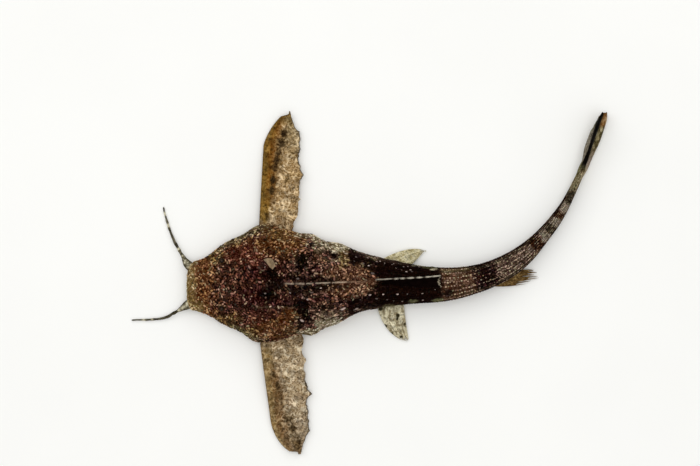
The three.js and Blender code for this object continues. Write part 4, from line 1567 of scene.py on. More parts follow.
@dataclass
class PectoralFin:
    """A pectoral fin: a strong flattened spine in front, and a mottled membrane behind it."""

    side: Side
    base: Pair
    lean: float
    tip_height: float
    blotches: tuple[Blotch, ...]
    hues: tuple[Tint, ...]
    length: float = 24.9
    width: float = 8.3
    straight: float = 16.9
    rounding: float = 1.45
    tip: float = 5.3
    rear_corner: float = 20.6
    barbs: tuple[tuple[float, float, float], ...] = ((11.1, 0.75, 2.2), (5.8, 0.5, 0.8))
    barb_width: float = 0.5
    fray: float = 0.2
    spike_from: float = 23.6
    spike_half: float = 0.12
    waist: float = 0.9
    step_in: float = 0.4
    root: float = 5.5
    turning: float = 0.5
    root_lead: float = 1.2
    root_trail: float = 1.8
    base_height: float = 2.7
    wave: float = 0.28
    spine_thick: float = 1.5
    spine_to: float = 0.34
    membrane_thick: float = 0.5
    rim_thick: float = 0.16
    rays: int = 6
    ray_relief: float = 0.14
    cells: tuple[int, int] = (240, 76)

    def leading(self, distance: Array) -> Array:
        """The leading edge: straight, then rounding back to the pointed tip."""
        share = np.clip((distance - self.straight) / (self.length - self.straight), 0, 1)
        round_ = self.tip * (1 - (1 - share**self.rounding) ** (1 / self.rounding))
        spike = ease(distance, self.spike_from, self.length - 0.5)
        return lerp(round_, self.tip - self.spike_half, spike)

    def trailing(self, distance: Array) -> Array:
        """The rear edge: uneven, with ray ends that stick out, and turning in to the tip."""
        barb = 0 * distance
        for at, reach, slope in self.barbs:
            rise = np.clip(1 - (at - distance) / slope, 0, 1) ** 2
            barb = barb + reach * np.where(distance < at, rise, bump(distance, at, self.barb_width))
        line = rows(distance, 9 * self.side.value, 0)
        fray = self.fray * (ripple(line, 1.5, 0.7) + 0.7 * ripple(line, 0.55, 2.3))
        inward = np.clip((distance - self.rear_corner) / (self.length - self.rear_corner), 0, 1)
        turned = lerp(self.width, self.tip + self.spike_half, inward**self.turning)
        waist = self.waist * bump(distance, 0.2, 1.5) + self.step_in * ease(distance, 12.5, 14)
        return turned + (barb + fray - waist) * (1 - inward)

    def offset(self, distance: Array, share: Array) -> Array:
        """How far back from the leading edge's line a place lies."""
        inside = np.clip(-distance / self.root, 0, 1)
        leading = self.leading(distance) + self.root_lead * inside
        trailing = self.trailing(np.maximum(distance, 0)) - self.root_trail * inside
        return lerp(leading, trailing, share)

    def locate(self, distance: Array, offset: Array) -> Array:
        """A place of the fin's middle surface by its distance out and back."""
        sign = self.side.value
        outward = (math.sin(self.lean), sign * math.cos(self.lean))
        backward = (math.cos(self.lean), -sign * math.sin(self.lean))
        out = np.clip(distance / self.length, 0, 1)
        droop = lerp(self.base_height, self.tip_height, ease(out, 0, 0.8))
        height = droop + self.wave * np.sin(5.5 * out + 0.5 * offset) * out
        x, y = (a + b * distance + c * offset for a, b, c in zip(self.base, outward, backward))
        return rows(x, y, height)

    def distance(self, along: Array) -> Array:
        """The distance out for a share along the fin, from inside the shoulder to the tip."""
        return lerp(-self.root, self.length, along)

    def share(self, across: Array) -> Array:
        """The share back from the leading edge: the left fin's grid runs the other way."""
        return across if self.side is Side.RIGHT else 1 - across

    def surface(self, along: Array, across: Array) -> Array:
        """The fin's middle surface."""
        distance = self.distance(along)
        return self.locate(distance, self.offset(distance, self.share(across)))

    def thickness(self, along: Array, across: Array) -> Array:
        """The spine's and the membrane's thickness, thin at the rims."""
        share = self.share(across)
        distance = self.distance(along)
        spine = (self.spine_thick - self.membrane_thick) * (1 - ease(share, 0.1, self.spine_to))
        taper = lerp(1, 0.4, ease(along, 0.3, 1))
        groove = 1 - 0.3 * bump(share, 0.12, 0.035)
        thick = self.membrane_thick + spine * taper * groove + self.ray_relief * ray_crest(share, self.rays)
        thick = thick + 0.06 * np.sin(distance * 3.1 + 4 * share) * (share > 0.3)
        front = rounded(share, 0.06)
        rear = rounded(1 - share, 0.09)
        end = rounded(1 - along, 0.02)
        return np.maximum(thick * front * rear * end, self.rim_thick)

    def paint(self, along: Array, across: Array, points: Array) -> Coat:
        """The fin's colours: an olive-brown spine, dark blotches, a tan membrane and a body-like base."""
        distance = self.distance(along)
        share = self.share(across)
        offset = self.offset(distance, share)
        uneven = ripple(points, 1.1, 6.1)
        coarse = ripple(points, 2.3, 1.3)
        fine = ripple(points, 0.4, 8.8)
        out = np.clip(distance / self.length, 0, 1)
        coat = Coat(len(share), self.hues[0])
        coat.lay(0.8 * ease(coarse + 0.5 * uneven, -0.1, 0.7) * ease(share, 0.3, 0.5), self.hues[1])
        coat.lay(0.75 * ease(out, 0.45, 0.85) * ease(share + 0.1 * uneven, 0.5, 0.75), self.hues[2])
        shaded = 1 - ease(share + 0.05 * uneven, 0.3, 0.5)
        coat.lay(0.65 * shaded * ease(out, 0.12, 0.3), self.hues[4])
        coat.lay(1 - ease(share + 0.02 * uneven, 0.2, 0.3), self.hues[3])
        inner = 0.85 * bump(share + 0.02 * uneven, 0.2, 0.07) * ease(out, 0.1, 0.3)
        coat.lay(inner * (0.8 + 0.4 * fine), self.hues[4])
        coat.lay(0.85 * ease(out + 0.03 * uneven, 0.84, 0.97), self.hues[5])
        # The row of dark blotches along the spine's rear side is partly pigment, partly painted shadow of the
        # spine's teeth.
        for blotch in self.blotches:
            away = np.hypot((distance - blotch.out) / blotch.long, (offset - blotch.back) / blotch.wide)
            coat.lay(blotch.strength * (1 - ease(away + 0.5 * uneven + 0.2 * fine, 0.3, 1.5)), FIN_BLOTCH)
        coat.lay(0.85 * ease(share, 0.955, 0.985) * ease(out, 0.3, 0.42), FIN_RIM)
        coat.lay(0.6 * (1 - ease(share, 0.0, 0.03)), self.hues[5])
        coat.lay(0.8 * (1 - ease(distance + 0.9 * uneven, 0.2, 2.2)), self.hues[6])
        return coat.shift(13 * fine)

    def grains(self, material: Material) -> Piece:
        """Body-like grains on the fin's base and along its rear margin."""
        rng = np.random.default_rng(40 + self.side.value)
        tries = 2600
        distance = rng.uniform(-0.6, 24, tries)
        share = rng.uniform(0.02, 0.98, tries)
        near = 1 - ease(distance, 0.5, 8.5)
        margin = ease(share, 0.55, 0.95) * (1 - ease(distance, 9, 15))
        likely = np.maximum(near, 0.75 * margin) * np.where(share < 0.24, 0.6, 1.0)
        chosen = rng.random(tries) < np.maximum(likely, 0.03)
        distance, share = distance[chosen], share[chosen]
        across = self.share(share)
        along = (distance + self.root) / (self.length + self.root)
        points = self.surface(along, across)
        step = 0.01
        ahead = self.surface(along + step, across) - points
        aside = self.surface(along, across + step) - points
        normals = unit(np.cross(ahead, aside))
        points = points + normals * (self.thickness(along, across) / 2)[:, None]
        coat = self.paint(along, across, points)
        count = len(points)
        width = 0.2 * rng.uniform(0.65, 1.15, count) * lerp(1.0, 0.75, ease(distance, 2, 10))
        sizes = rows(width * rng.uniform(0.9, 1.5, count), width, 0.6 * width)
        tops = HORN.tops(coat, rng.uniform(0.1, 1.0, count), rng)
        heading = rng.normal(0, 1, (count, 3))
        grains = Grains(points, normals, heading, sizes, coat.ground, tops)
        return grains.build(self.side.label("fin_grains"), material, bent=False)

    def build(self, skin: Material, grain: Material) -> list[Piece]:
        """Makes the fin and its grains."""
        return [lay_plate(self, self.side.label("pectoral_fin"), self.cells, skin), self.grains(grain)]


@dataclass
class FanFin:
    """A fan of rays between a front and a rear edge: a pelvic fin or the anal fin."""

    name: str
    front: tuple[Point, Point, Point]
    rear: tuple[Point, Point, Point]
    crown: float
    ragged: float
    rays: int
    thick: float
    tint: Tint
    ray_tint: Tint
    spots: tuple[Point, ...] = ()
    spot_tint: Tint = Tint((38, 34, 18), (70, 62, 38))
    fray: float = 0.12
    recess: float = 0.12
    root_thicker: float = 1.6
    ragged_pitch: float = 13.0
    ray_relief: float = 0.14
    cells: tuple[int, int] = (90, 90)

    @staticmethod
    def bent(stops: tuple[Point, Point, Point], share: Array) -> Array:
        """Places on an edge that passes through its root, middle and tip."""
        root, middle, tip = (np.array(stop, dtype=float) for stop in stops)
        control = 2 * middle - 0.5 * root - 0.5 * tip
        share = share[:, None]
        return (1 - share) ** 2 * root + 2 * share * (1 - share) * control + share**2 * tip

    def surface(self, along: Array, across: Array) -> Array:
        """The fan's middle surface, its rays reaching further than the skin between them."""
        ragged = self.ragged * np.sin(self.ragged_pitch * across)
        split = self.fray * np.sin(5 * self.ragged_pitch * across + 2 * np.sin(9 * across)) * 0.5
        between = self.recess * (1 - ray_crest(across, self.rays)) ** 1.5
        end = ease(along, 0.55, 1.0)
        reach = along * (1 + self.crown * np.sin(np.pi * across) + ragged - end * (between + 0.5 * split))
        line = self.bent(self.rear, reach)
        return lerp(line, self.bent(self.front, reach), across[:, None])

    def thickness(self, along: Array, across: Array) -> Array:
        """Thick at the root and on the rays, thin at the rims."""
        thick = self.thick * lerp(self.root_thicker, 0.8, along)
        thick = thick * lerp(0.55, 1.0, ray_crest(across, self.rays))
        thick = thick + 0.05 * ray_crest(across, 3 * self.rays)
        sides = rounded(np.minimum(across, 1 - across), 0.05)
        end = rounded(1 - along, 0.06)
        return np.maximum(thick * sides * end, THINNEST)

    def paint(self, along: Array, across: Array, points: Array) -> Coat:
        """Pale skin with darker rays, darker specks and a pale rim."""
        uneven = ripple(points, 0.8, 4.4)
        strands = ripple(rows(3.2 * along, 2.6 * self.rays * across, 0), 1.0, 6.6)
        rays = 0.5 * bump(ray_crest(across, 2 * self.rays), 1.0, 0.3) * (0.6 + 0.4 * uneven)
        rays = np.clip(rays + ease(strands, -0.1, 0.7), 0, 1)
        rays = rays * lerp(0.4, 1.0, ease(along, 0.45, 0.8))
        mottled = 0.75 * ease(ripple(points, 0.7, 3.1), 0.05, 0.45) * (1 - ease(along, 0.7, 1.0))
        coat = Coat(len(along), self.tint)
        coat.lay(np.maximum(rays, mottled), self.ray_tint)
        for x, y, radius in self.spots:
            away = np.hypot(points[:, 0] - x, points[:, 1] - y) / radius
            coat.lay(1 - ease(away + 0.3 * uneven, 0.6, 1.2), self.spot_tint)
        return coat.shift(6 * ripple(points, 0.3, 7.7))

    def build(self, material: Material) -> Piece:
        """Makes the fin."""
        return lay_plate(self, self.name, self.cells, material)


@dataclass
class DorsalFin:
    """The dorsal fin folded down on the back: a beaded first ray, and black skin to its left."""

    root_first: Pair = (40.6, 1.2)
    root_last: Pair = (44.6, 0.2)
    tip_first: Pair = (54.9, 1.95)
    tip_last: Pair = (54.9, -0.6)
    tip_crown: float = -0.3
    lift: float = 0.28
    first_ray_lift: float = 0.35
    first_ray_thicker: float = 0.3
    root_thick: float = 0.75
    thick: float = 0.45
    rays: int = 6
    web: Tint = Tint((10, 4, 3), (14, 8, 8))
    ray_tone: Tint = Tint((24, 14, 12), (14, 8, 8))
    rim_tone: Tint = Tint((168, 156, 132), (196, 186, 164))
    bead: Tint = Tint((168, 160, 144), (198, 190, 174))
    gap_tone: Tint = Tint((64, 54, 44), (94, 84, 74))
    gaps: tuple[float, ...] = (0.27, 0.46, 0.6, 0.74)
    gap: float = 0.022
    raise_ray: float = 0.34

    def locate(self, along: Array, across: Array) -> tuple[Array, Array, Array]:
        """The fin's middle surface on the straight fish."""
        roots = [lerp(a, b, across) for a, b in zip(self.root_first, self.root_last)]
        tips = [lerp(a, b, across) for a, b in zip(self.tip_first, self.tip_last)]
        s = lerp(roots[0], tips[0], along) + self.tip_crown * np.sin(np.pi * across) * along
        side = lerp(roots[1], tips[1], along)
        frayed = ease(along, 0.9, 1.0) * 0.13 * np.sin(37 * across + 2 * np.sin(11 * across))
        s = s + frayed
        height = PROFILE.back_height(s, side) + self.lift * ease(along, 0, 0.35)
        height = height + self.first_ray_lift * (1 - across) * np.sin(np.pi * along)
        return s, side, height

    def surface(self, along: Array, across: Array) -> Array:
        """The fin's middle surface, bent with the back."""
        return MIDLINE.place(*self.locate(along, across))

    def thickness(self, along: Array, across: Array) -> Array:
        """Thick at the root and on the rays."""
        thick = lerp(self.root_thick, self.thick, along) + 0.14 * ray_crest(across, self.rays)
        thick = thick + self.first_ray_thicker * (1 - ease(across, 0.1, 0.2))
        return np.maximum(thick * rounded(1 - along, 0.05), 0.14)

    def paint(self, along: Array, across: Array, points: Array) -> Coat:
        """Black skin that turns pale and ragged at the rays' ends."""
        uneven = ripple(points, 0.5, 2.2)
        coat = Coat(len(along), self.web)
        coat.lay(0.25 * ray_crest(across, self.rays) * (0.5 + 0.5 * uneven), self.ray_tone)
        coat.lay(0.85 * ease(along + 0.02 * uneven, 0.955, 0.985), self.rim_tone)
        return coat

    def first_ray(self, material: Material) -> Piece:
        """The pale beaded first ray."""
        along = np.linspace(0.0, 1.0, 111)
        path = self.surface(along, 0 * along + 0.02)
        path[:, 2] += self.raise_ray

        def radius(share: Array) -> Array:
            beads = 0.75 + 0.25 * np.abs(np.sin(26 * share))
            return lerp(0.24, 0.2, share) * beads * rounded(1 - share, 0.03)

        piece = round_body("dorsal_first_ray", path, radius, 12)
        share = shares(read_points(piece), path)
        dark = 0.4 * (1 - ease(share, 0.1, 0.25))
        for gap in self.gaps:
            dark = np.maximum(dark, bump(share, gap, self.gap))
        coat = Coat(len(share), self.bead)
        coat.lay(dark, self.gap_tone)
        write_colours(piece, coat.ground, coat.fleck)
        return hand_over(piece, material)

    def build(self, skin: Material, ray: Material) -> list[Piece]:
        """Makes the fin and its first ray."""
        return [lay_plate(self, "dorsal_fin", (90, 60), skin), self.first_ray(ray)]


@dataclass
class TailFin:
    """The tail fin on edge and half closed, so that seen from above it is an S."""

    start: float = 92.4
    reach: float = 18.25
    notch: float = 4.4
    notch_at: float = 0.27
    notch_width: float = 0.2
    root_top: float = 4.3
    root_bottom: float = 1.1
    height: float = 6.9
    right_bulge: float = 1.0
    left_bulge: float = 1.6
    root_sway: float = -0.08
    tip_sway: float = 1.2
    corner_cut: float = 1.3
    recess: float = 0.45
    edge_thicker: float = 0.35
    fold_thicker: float = 0.8
    root_thick: float = 0.7
    thick: float = 0.38
    rays: int = 10
    floor_gap: float = 0.25

    def surface(self, along: Array, across: Array) -> Array:
        """The fin's middle surface: across runs from its upper edge down to its lower one."""
        between = (1 - ray_crest(across, self.rays)) ** 1.5
        length = self.reach - self.notch * bump(across, self.notch_at, self.notch_width)
        length = length - self.corner_cut * ease(across, 0.84, 1.0)
        length = length - self.recess * between * ease(along, 0.7, 1.0)
        top = lerp(self.root_top, self.height, ease(along, 0.1, 0.9))
        bottom = lerp(self.root_bottom, self.floor_gap + self.thick / 2, ease(along, 0.1, 0.6))
        upper = self.right_bulge * ease(along, 0.3, 0.7) * (1 - 0.4 * ease(along, 0.9, 1.0))
        lower = lerp(0.5, self.left_bulge, ease(along, 0.15, 0.7)) - 0.3 * ease(along, 0.9, 1.0)
        bulge = np.sin(2 * np.pi * across) * np.where(across < 0.5, upper, lower)
        side = bulge + lerp(self.root_sway, self.tip_sway, (length * along / self.reach) ** 1.8)
        return MIDLINE.place(self.start + length * along, side, lerp(top, bottom, across))

    def thickness(self, along: Array, across: Array) -> Array:
        """Thick at the root, on the rays and at the upper edge."""
        thick = lerp(self.root_thick, self.thick, along) * lerp(0.6, 1.0, ray_crest(across, self.rays))
        thick = thick + self.edge_thicker * (1 - ease(across, 0.02, 0.1))
        thick = thick + self.fold_thicker * bump(along, 0.28, 0.14) * ease(across, 0.0, 0.12)
        return np.maximum(thick * rounded(1 - along, 0.04), THINNEST)

    def paint(self, along: Array, across: Array, points: Array) -> Coat:
        """A black upper edge, grey skin towards the bend's inside and olive skin towards its outside."""
        uneven = ripple(points, 0.9, 1.4)
        blotchy = ease(ripple(points, 1.1, 5.4), -0.2, 0.35)
        coat = Coat(len(along), Tint((116, 108, 94), (162, 154, 140)))
        coat.lay(1 - ease(along, 0.36, 0.46), Tint((98, 92, 58), (140, 134, 100)))
        coat.lay(ease(along, 0.84, 0.94), Tint((74, 82, 52), (120, 126, 96)))
        outer = ease(across, 0.45, 0.55)
        coat.lay(outer, Tint((150, 134, 92), (196, 184, 146)))
        coat.lay(0.9 * outer * blotchy * ease(along, 0.4, 0.5), Tint((52, 44, 16), (96, 84, 48)))
        coat.lay(outer * bump(along + 0.03 * uneven, 0.38, 0.13), Tint((150, 132, 118), (188, 172, 158)))
        loop = outer * ease(along, 0.8, 0.86)
        tip = loop * bump(along, 0.92, 0.05) * bump(across, 0.72, 0.13)
        crests = 0.35 * ray_crest(across, self.rays) * ease(along, 0.2, 0.5)
        coat.lay(loop, Tint((104, 60, 20), (150, 108, 60)))
        coat.lay(tip, Tint((214, 176, 128), (236, 206, 166)))
        coat.lay(crests, Tint((50, 42, 24), (100, 90, 66)))
        line = 1 - ease(across - 0.06 * along, 0.01, 0.05)
        line = line * ease(along + 0.02 * uneven, 0.22, 0.36)
        coat.lay(line, Tint((5, 4, 2), (22, 18, 12)))
        coat.lay(0.8 * ease(across, 0.94, 0.98), Tint((64, 50, 20), (104, 88, 50)))
        return coat.shift(5 * uneven)

    def build(self, material: Material) -> Piece:
        """Makes the fin."""
        return lay_plate(self, "tail_fin", (110, 120), material)


@dataclass
class Eyes:
    """The tiny eyes, each in a low ring of skin."""

    at: float = 7.75
    side: float = 5.0
    radius: float = 0.62
    pupil: float = 0.42
    iris: float = 0.95
    ring: float = 0.6
    ring_thick: float = 0.15
    ring_lift: float = 0.24
    iris_tone: Tint = Tint((16, 9, 5), (16, 9, 5))
    pupil_tone: Tint = Tint((58, 44, 32), (58, 44, 32))
    white_tone: Tint = Tint((58, 36, 20), (58, 36, 20))
    ring_tone: Tint = Tint((50, 28, 12), (124, 100, 72))

    def build(self, eye: Material, skin: Material) -> list[Piece]:
        """Makes both eyes and their rings."""
        pieces = []
        sway = PROFILE.section(np.array([self.at])).sway
        for which in Side:
            side = self.side * which.value + sway
            height = PROFILE.back_height(np.array([self.at]), side)
            centre = MIDLINE.place(self.at, side, height)[0]
            outward = unit(np.array([-0.15, 0.45 * which.value, 1.0]))
            pieces += [self.ball(which, centre, outward, eye), self.lid(which, centre, outward, skin)]
        return pieces

    def ball(self, which: Side, centre: Array, outward: Array, material: Material) -> Piece:
        """One eyeball with a clouded pupil and a dark iris."""
        piece = add_sphere(which.label("eye"), 28, 18)
        ball = read_points(piece)
        off = np.arccos(np.clip(ball @ outward, -1, 1))
        write_points(piece, centre + self.radius * ball * (1, 1, 0.9))
        coat = Coat(len(off), self.iris_tone)
        coat.lay(1 - ease(off, self.pupil - 0.12, self.pupil + 0.12), self.pupil_tone)
        coat.lay(ease(off, self.iris, self.iris + 0.4), self.white_tone)
        write_colours(piece, coat.ground)
        return hand_over(piece, material)

    def lid(self, which: Side, centre: Array, outward: Array, material: Material) -> Piece:
        """The ring of skin round an eye."""
        clear_selection()
        bpy.ops.mesh.primitive_torus_add(
            major_segments=30, minor_segments=10, major_radius=self.ring, minor_radius=self.ring_thick
        )
        piece = start_piece(which.label("eye_ring"))
        turn = Vector((0, 0, 1)).rotation_difference(Vector(outward)).to_matrix()
        ring = read_points(piece) * (1.08, 1, 0.8) @ np.array(turn).T
        ring *= 1 + 0.04 * ripple(ring, 0.4, 3.3)[:, None]
        write_points(piece, centre + ring + outward * self.ring_lift)
        coat = Coat(len(ring), self.ring_tone)
        write_colours(piece, coat.ground, coat.fleck)
        return hand_over(piece, material)


@dataclass
class Nostrils:
    """The front nostrils: short tubes that stick out over the lip, with painted shade deep in their bores."""

    at: float = 1.15
    side: float = 2.65
    radius: float = 0.36
    mouth: float = 0.27
    length: float = 0.95
    height: float = 3.4
    wall: float = 0.09
    bore: float = 0.5
    sides: int = 14
    tone: Tint = Tint((84, 62, 34), (126, 93, 51))
    # Painted shade inside the bores.
    bore_shade_tone: Tint = Tint((20, 12, 6), (30, 18, 9))

    def build(self, material: Material) -> list[Piece]:
        """Makes both tubes."""
        pieces = []
        sway = float(PROFILE.section(np.array([0.0])).sway[0])
        for which in Side:
            clear_selection()
            bpy.ops.mesh.primitive_cone_add(
                vertices=self.sides, radius1=self.radius, radius2=self.mouth, depth=self.length
            )
            piece = start_piece(which.label("nostril"))
            edit("DESELECT")
            bpy.ops.object.mode_set(mode="OBJECT")
            for face in piece.data.polygons:
                face.select = face.normal.z > 0.9
            bpy.ops.object.mode_set(mode="EDIT")
            bpy.ops.mesh.select_mode(type="FACE")
            bpy.ops.mesh.inset(thickness=self.wall)
            bpy.ops.mesh.extrude_region_move(TRANSFORM_OT_translate={"value": (0, 0, -self.bore)})
            bpy.ops.object.mode_set(mode="OBJECT")
            apply_modifier(piece, "SUBSURF", levels=2, render_levels=2)
            x, y, z = read_points(piece).T
            root = MIDLINE.place(self.at, self.side * which.value + sway, self.height)
            bent = 0.12 * which.value * (z / self.length + 0.5) ** 2
            points = rows(root[0] - self.length / 2 - z, root[1] + x + bent, root[2] - y)
            # Painted shade: the bottom of each bore is painted near black.
            deep = 1 - ease(np.hypot(x, y), 0.12, 0.19)
            write_points(piece, points)
            turn_outward(piece)
            coat = Coat(len(x), self.tone)
            coat.lay(deep, self.bore_shade_tone)
            write_colours(piece, coat.ground, coat.fleck)
            pieces.append(hand_over(piece, material))
        return pieces


@dataclass
class Flake:
    """A thin angular chip of dried skin that lies on the right half of the head."""

    corners: tuple[Pair, ...] = (
        (16.75, 5.5), (17.6, 5.85), (18.6, 5.75), (19.3, 4.7), (19.35, 4.1), (18.75, 3.35), (18.1, 3.9),
        (17.5, 4.75),
    )
    thick: float = 0.2
    lift: float = 0.16
    voxel: float = 0.07
    colour: Rgb = (140, 118, 90)

    def build(self, material: Material) -> Piece:
        """Makes the chip."""
        clear_selection()
        bpy.ops.mesh.primitive_circle_add(vertices=len(self.corners), fill_type="NGON", radius=1.0)
        piece = start_piece("skin_flake")
        s, side = np.array(self.corners).T
        write_points(piece, rows(s, side, 0))
        edit()
        bpy.ops.mesh.extrude_region_move(TRANSFORM_OT_translate={"value": (0, 0, self.thick)})
        bpy.ops.object.mode_set(mode="OBJECT")
        turn_outward(piece)
        apply_modifier(piece, "REMESH", mode="VOXEL", voxel_size=self.voxel)
        points = read_points(piece)
        s, side, rise = points.T
        centre_s, centre_side = np.mean(self.corners, axis=0)
        tilt = 0.12 * (side - centre_side) + 0.05 * (s - centre_s)
        base = PROFILE.back_height(np.full_like(s, centre_s), np.full_like(s, centre_side))
        slope = PROFILE.back_height(s, side)
        height = lerp(base, slope, 0.75) + self.lift + tilt + rise
        height = height + 0.06 * ripple(points, 0.6, 1.2)
        write_points(piece, MIDLINE.place(s, side, height))
        ground = np.array(self.colour) + 14 * ripple(points, 0.5, 4.1)[:, None]
        write_colours(piece, ground, paler(ground, 1.0, 26))
        return hand_over(piece, material)


@dataclass
class Studio:
    """The floor, the soft lights and the camera straight above the fish."""

    centre: Pair = (16.12, 11.2)
    above: float = 550.0
    focus_height: float = 3.0
    frame_width: float = 151.7
    sensor: float = 36.0
    floor_size: float = 4.0
    floor_drop: float = 0.05
    world: float = 0.36
    lamp_distance: float = 0.8
    lamp_size: float = 0.5
    lamp_watts: float = 0.9
    lamps: tuple[tuple[float, float, float], ...] = (
        (0, 89, 2.9), (150, 52, 1.2), (70, 48, 1.1), (-30, 50, 0.4), (-120, 55, 0.4),
    )

    def build(self) -> None:
        """Sets up the studio."""
        scene = bpy.context.scene
        scene.view_settings.view_transform = "Standard"
        scene.view_settings.look = "None"
        self.floor()
        self.camera()
        for number, (bearing, elevation, strength) in enumerate(self.lamps, start=1):
            self.lamp(number, math.radians(bearing), math.radians(elevation), strength)
        world = bpy.data.worlds.new("soft_room")
        scene.world = world
        world.use_nodes = True
        sky = world.node_tree.nodes["Background"]
        sky.inputs["Color"].default_value = (1.0, 1.0, 0.99, 1.0)
        sky.inputs["Strength"].default_value = self.world

    def floor(self) -> None:
        """The plain pale floor."""
        clear_selection()
        bpy.ops.mesh.primitive_plane_add(size=self.floor_size, location=(0, 0, 0))
        piece = start_piece("floor")
        write_points(piece, read_points(piece) - (0, 0, self.floor_drop * MM))
        piece.data.materials.append(FLOOR_FINISH.build())
        piece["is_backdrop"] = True

    def camera(self) -> None:
        """The camera, straight above, with the snout to the picture's left."""
        lens = bpy.data.cameras.new("camera")
        lens.sensor_width = self.sensor
        lens.lens = self.sensor * self.above / self.frame_width
        lens.clip_end = 20.0
        camera = add_object("camera", lens)
        camera.location = Vector((*self.centre, self.focus_height + self.above)) * MM
        bpy.context.scene.camera = camera

    def lamp(self, number: int, bearing: float, elevation: float, strength: float) -> None:
        """One large soft lamp that looks at the fish."""
        light = bpy.data.lights.new(f"softbox_{number}", "AREA")
        light.size = self.lamp_size
        light.energy = self.lamp_watts * strength
        lamp = add_object(f"softbox_{number}", light)
        flat = math.cos(elevation)
        away = Vector((flat * math.cos(bearing), flat * math.sin(bearing), math.sin(elevation)))
        lamp.location = Vector((self.centre[0] * MM, self.centre[1] * MM, 0)) + away * self.lamp_distance
        lamp.rotation_euler = away.to_track_quat("Z", "Y").to_euler()


RIGHT_PECTORAL = PectoralFin(
    side=Side.RIGHT, base=(-3.6, 13.1), lean=math.radians(3), tip_height=1.1,
    hues=(
        Tint((134, 103, 59), (228, 202, 161)), Tint((110, 80, 36), (200, 170, 122)),
        Tint((126, 106, 70), (208, 188, 150)), Tint((112, 82, 30), (150, 118, 60)),
        Tint((94, 49, 4), (136, 94, 38)), Tint((102, 76, 30), (146, 120, 70)),
        Tint((84, 58, 30), (186, 160, 124)),
    ),
    # These dark blotches along the spine's rear side are partly pigment, partly painted shadow of the spine's
    # teeth.
    blotches=(
        Blotch(20.2, 4.4, 0.9, 0.9), Blotch(18.2, 4.0, 0.9, 0.9), Blotch(16.0, 3.5, 1.0, 0.6, 0.8),
        Blotch(14.2, 2.9, 0.9, 0.7, 0.9), Blotch(12.3, 2.7, 0.9, 0.6, 0.8), Blotch(9.9, 2.4, 0.9, 0.6),
        Blotch(7.4, 2.2, 0.9, 0.6, 0.9), Blotch(1.4, 1.6, 1.2, 0.4, 0.8),
    ),
)
LEFT_PECTORAL = PectoralFin(
    side=Side.LEFT, base=(-3.38, -12.9), lean=math.radians(7.6), tip_height=0.9,
    hues=(
        Tint((138, 114, 80), (226, 208, 176)), Tint((120, 96, 66), (206, 184, 154)),
        Tint((132, 112, 86), (206, 188, 160)), Tint((125, 99, 57), (173, 149, 107)),
        Tint((96, 64, 34), (150, 120, 84)), Tint((116, 92, 62), (172, 146, 112)),
        Tint((112, 88, 58), (208, 186, 152)),
    ),
    width=8.8, straight=17.0, rounding=1.8, rear_corner=20.2, turning=0.68, spike_from=24.0, waist=-0.8,
    step_in=0.55, spike_half=0.3, barbs=((12.2, 0.75, 3.4), (4.9, 0.6, 2.6)),
    blotches=(
        Blotch(7.0, 2.2, 0.9, 0.4, 0.5), Blotch(9.4, 2.6, 1.0, 0.5, 0.8), Blotch(12.6, 3.0, 1.4, 0.5, 0.6),
        Blotch(16.6, 3.9, 1.2, 0.9, 0.65), Blotch(17.8, 1.9, 0.7, 0.5, 0.6),
        Blotch(18.8, 4.6, 0.9, 0.8, 0.7), Blotch(21.0, 4.2, 1.8, 2.4, 0.25),
        Blotch(22.6, 5.2, 1.4, 0.9, 0.8),
    ),
)
STRAW = Tint((206, 196, 156), (242, 234, 200))
STRAW_RAY = Tint((142, 128, 84), (200, 188, 146))
BRUSH = Tint((113, 84, 44), (170, 142, 92))
BRUSH_RAY = Tint((56, 36, 12), (104, 80, 46))
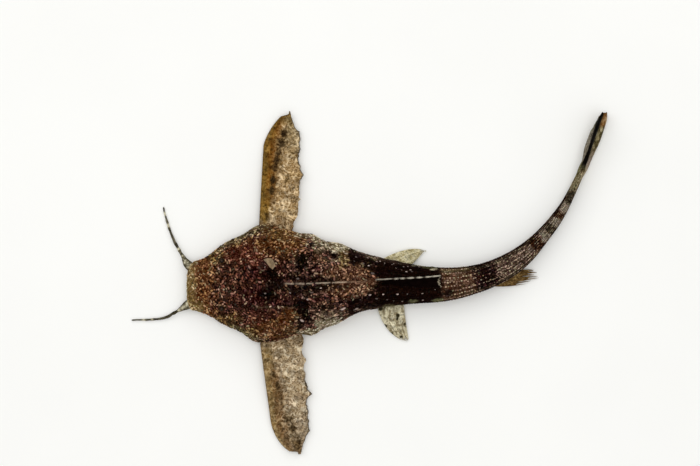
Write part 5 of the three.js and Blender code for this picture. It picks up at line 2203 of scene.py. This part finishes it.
FAN_FINS = (
    FanFin(
        name="right_pelvic_fin", front=((21.2, 4.4, 1.9), (27.3, 7.3, 1.2), (32.2, 7.5, 0.6)),
        rear=((27.4, 2.6, 1.9), (29.8, 4.6, 1.2), (31.9, 6.9, 0.6)),
        crown=0.05, ragged=0.03, rays=6, thick=0.42, tint=STRAW, ray_tint=STRAW_RAY,
    ),
    FanFin(
        name="left_pelvic_fin", front=((21.6, -2.4, 1.8), (23.6, -8.7, 0.9), (27.6, -12.2, 0.5)),
        rear=((27.6, -2.4, 1.8), (28.2, -7.6, 0.9), (28.9, -12.0, 0.5)),
        crown=0.03, ragged=0.03, rays=6, thick=0.42,
        tint=Tint((206, 197, 164), (244, 236, 208)), ray_tint=Tint((118, 104, 74), (182, 168, 134)),
        spots=(
            (26.5, -6.8, 0.5), (26.4, -7.4, 0.4), (22.8, -5.2, 0.5), (23.7, -5.0, 0.2), (28.0, -8.6, 0.3),
            (27.3, -11.4, 0.35), (23.9, -9.0, 0.3), (25.2, -10.6, 0.3),
        ),
    ),
    FanFin(
        name="anal_fin", front=((44.6, -0.1, 1.9), (49.2, -0.45, 1.2), (54.5, 0.15, 0.6)),
        rear=((50.4, 2.6, 1.9), (53.6, 3.2, 1.2), (56.2, 3.1, 0.6)),
        crown=0.13, ragged=0.07, rays=7, thick=0.45, tint=BRUSH, ray_tint=BRUSH_RAY, recess=0.3, fray=0.3,
    ),
)


def write_sizes() -> None:
    """Works out the CAD box and the visual model's box, in metres."""
    found = {"cad": CAD_BOX, "visual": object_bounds()}
    boxes = {name: [list(corner) for corner in box] for name, box in found.items()}


def main() -> None:
    """Builds the studio, then the fish part by part."""
    logging.basicConfig(level=logging.INFO, format="%(name)s: %(message)s")
    Studio().build()
    rough_skin = SkinFinish().build()
    grain = GRAIN_FINISH.build()
    membrane = FinFinish("mottled_fin").build()
    straw = FinFinish("straw_fin", worm=0.7, dots=1.1, dot_share=0.4, specks=0.4, shade=0.8).build()
    black = SkinFinish("folded_black_fin", fleck=0.5, share=0.25, depth=0.03).build()
    horn = SkinFinish("pale_ray", fleck=0.25, share=0.4, depth=0.02, gloss=0.1).build()
    skin = Skin()
    skin.build(rough_skin)
    SkinGrains().build(skin, grain)
    TailRows().build(grain)
    Tubercles().build(grain)
    Eyes().build(EYE_FINISH.build(), rough_skin)
    Nostrils().build(horn)
    Flake().build(horn)
    Barbels().build(horn)
    for fin in (RIGHT_PECTORAL, LEFT_PECTORAL):
        fin.build(membrane, grain)
    for fan in FAN_FINS:
        fan.build(straw)
    DorsalFin().build(black, horn)
    TailFin().build(straw)
    write_sizes()


if __name__ == "__main__":
    main()
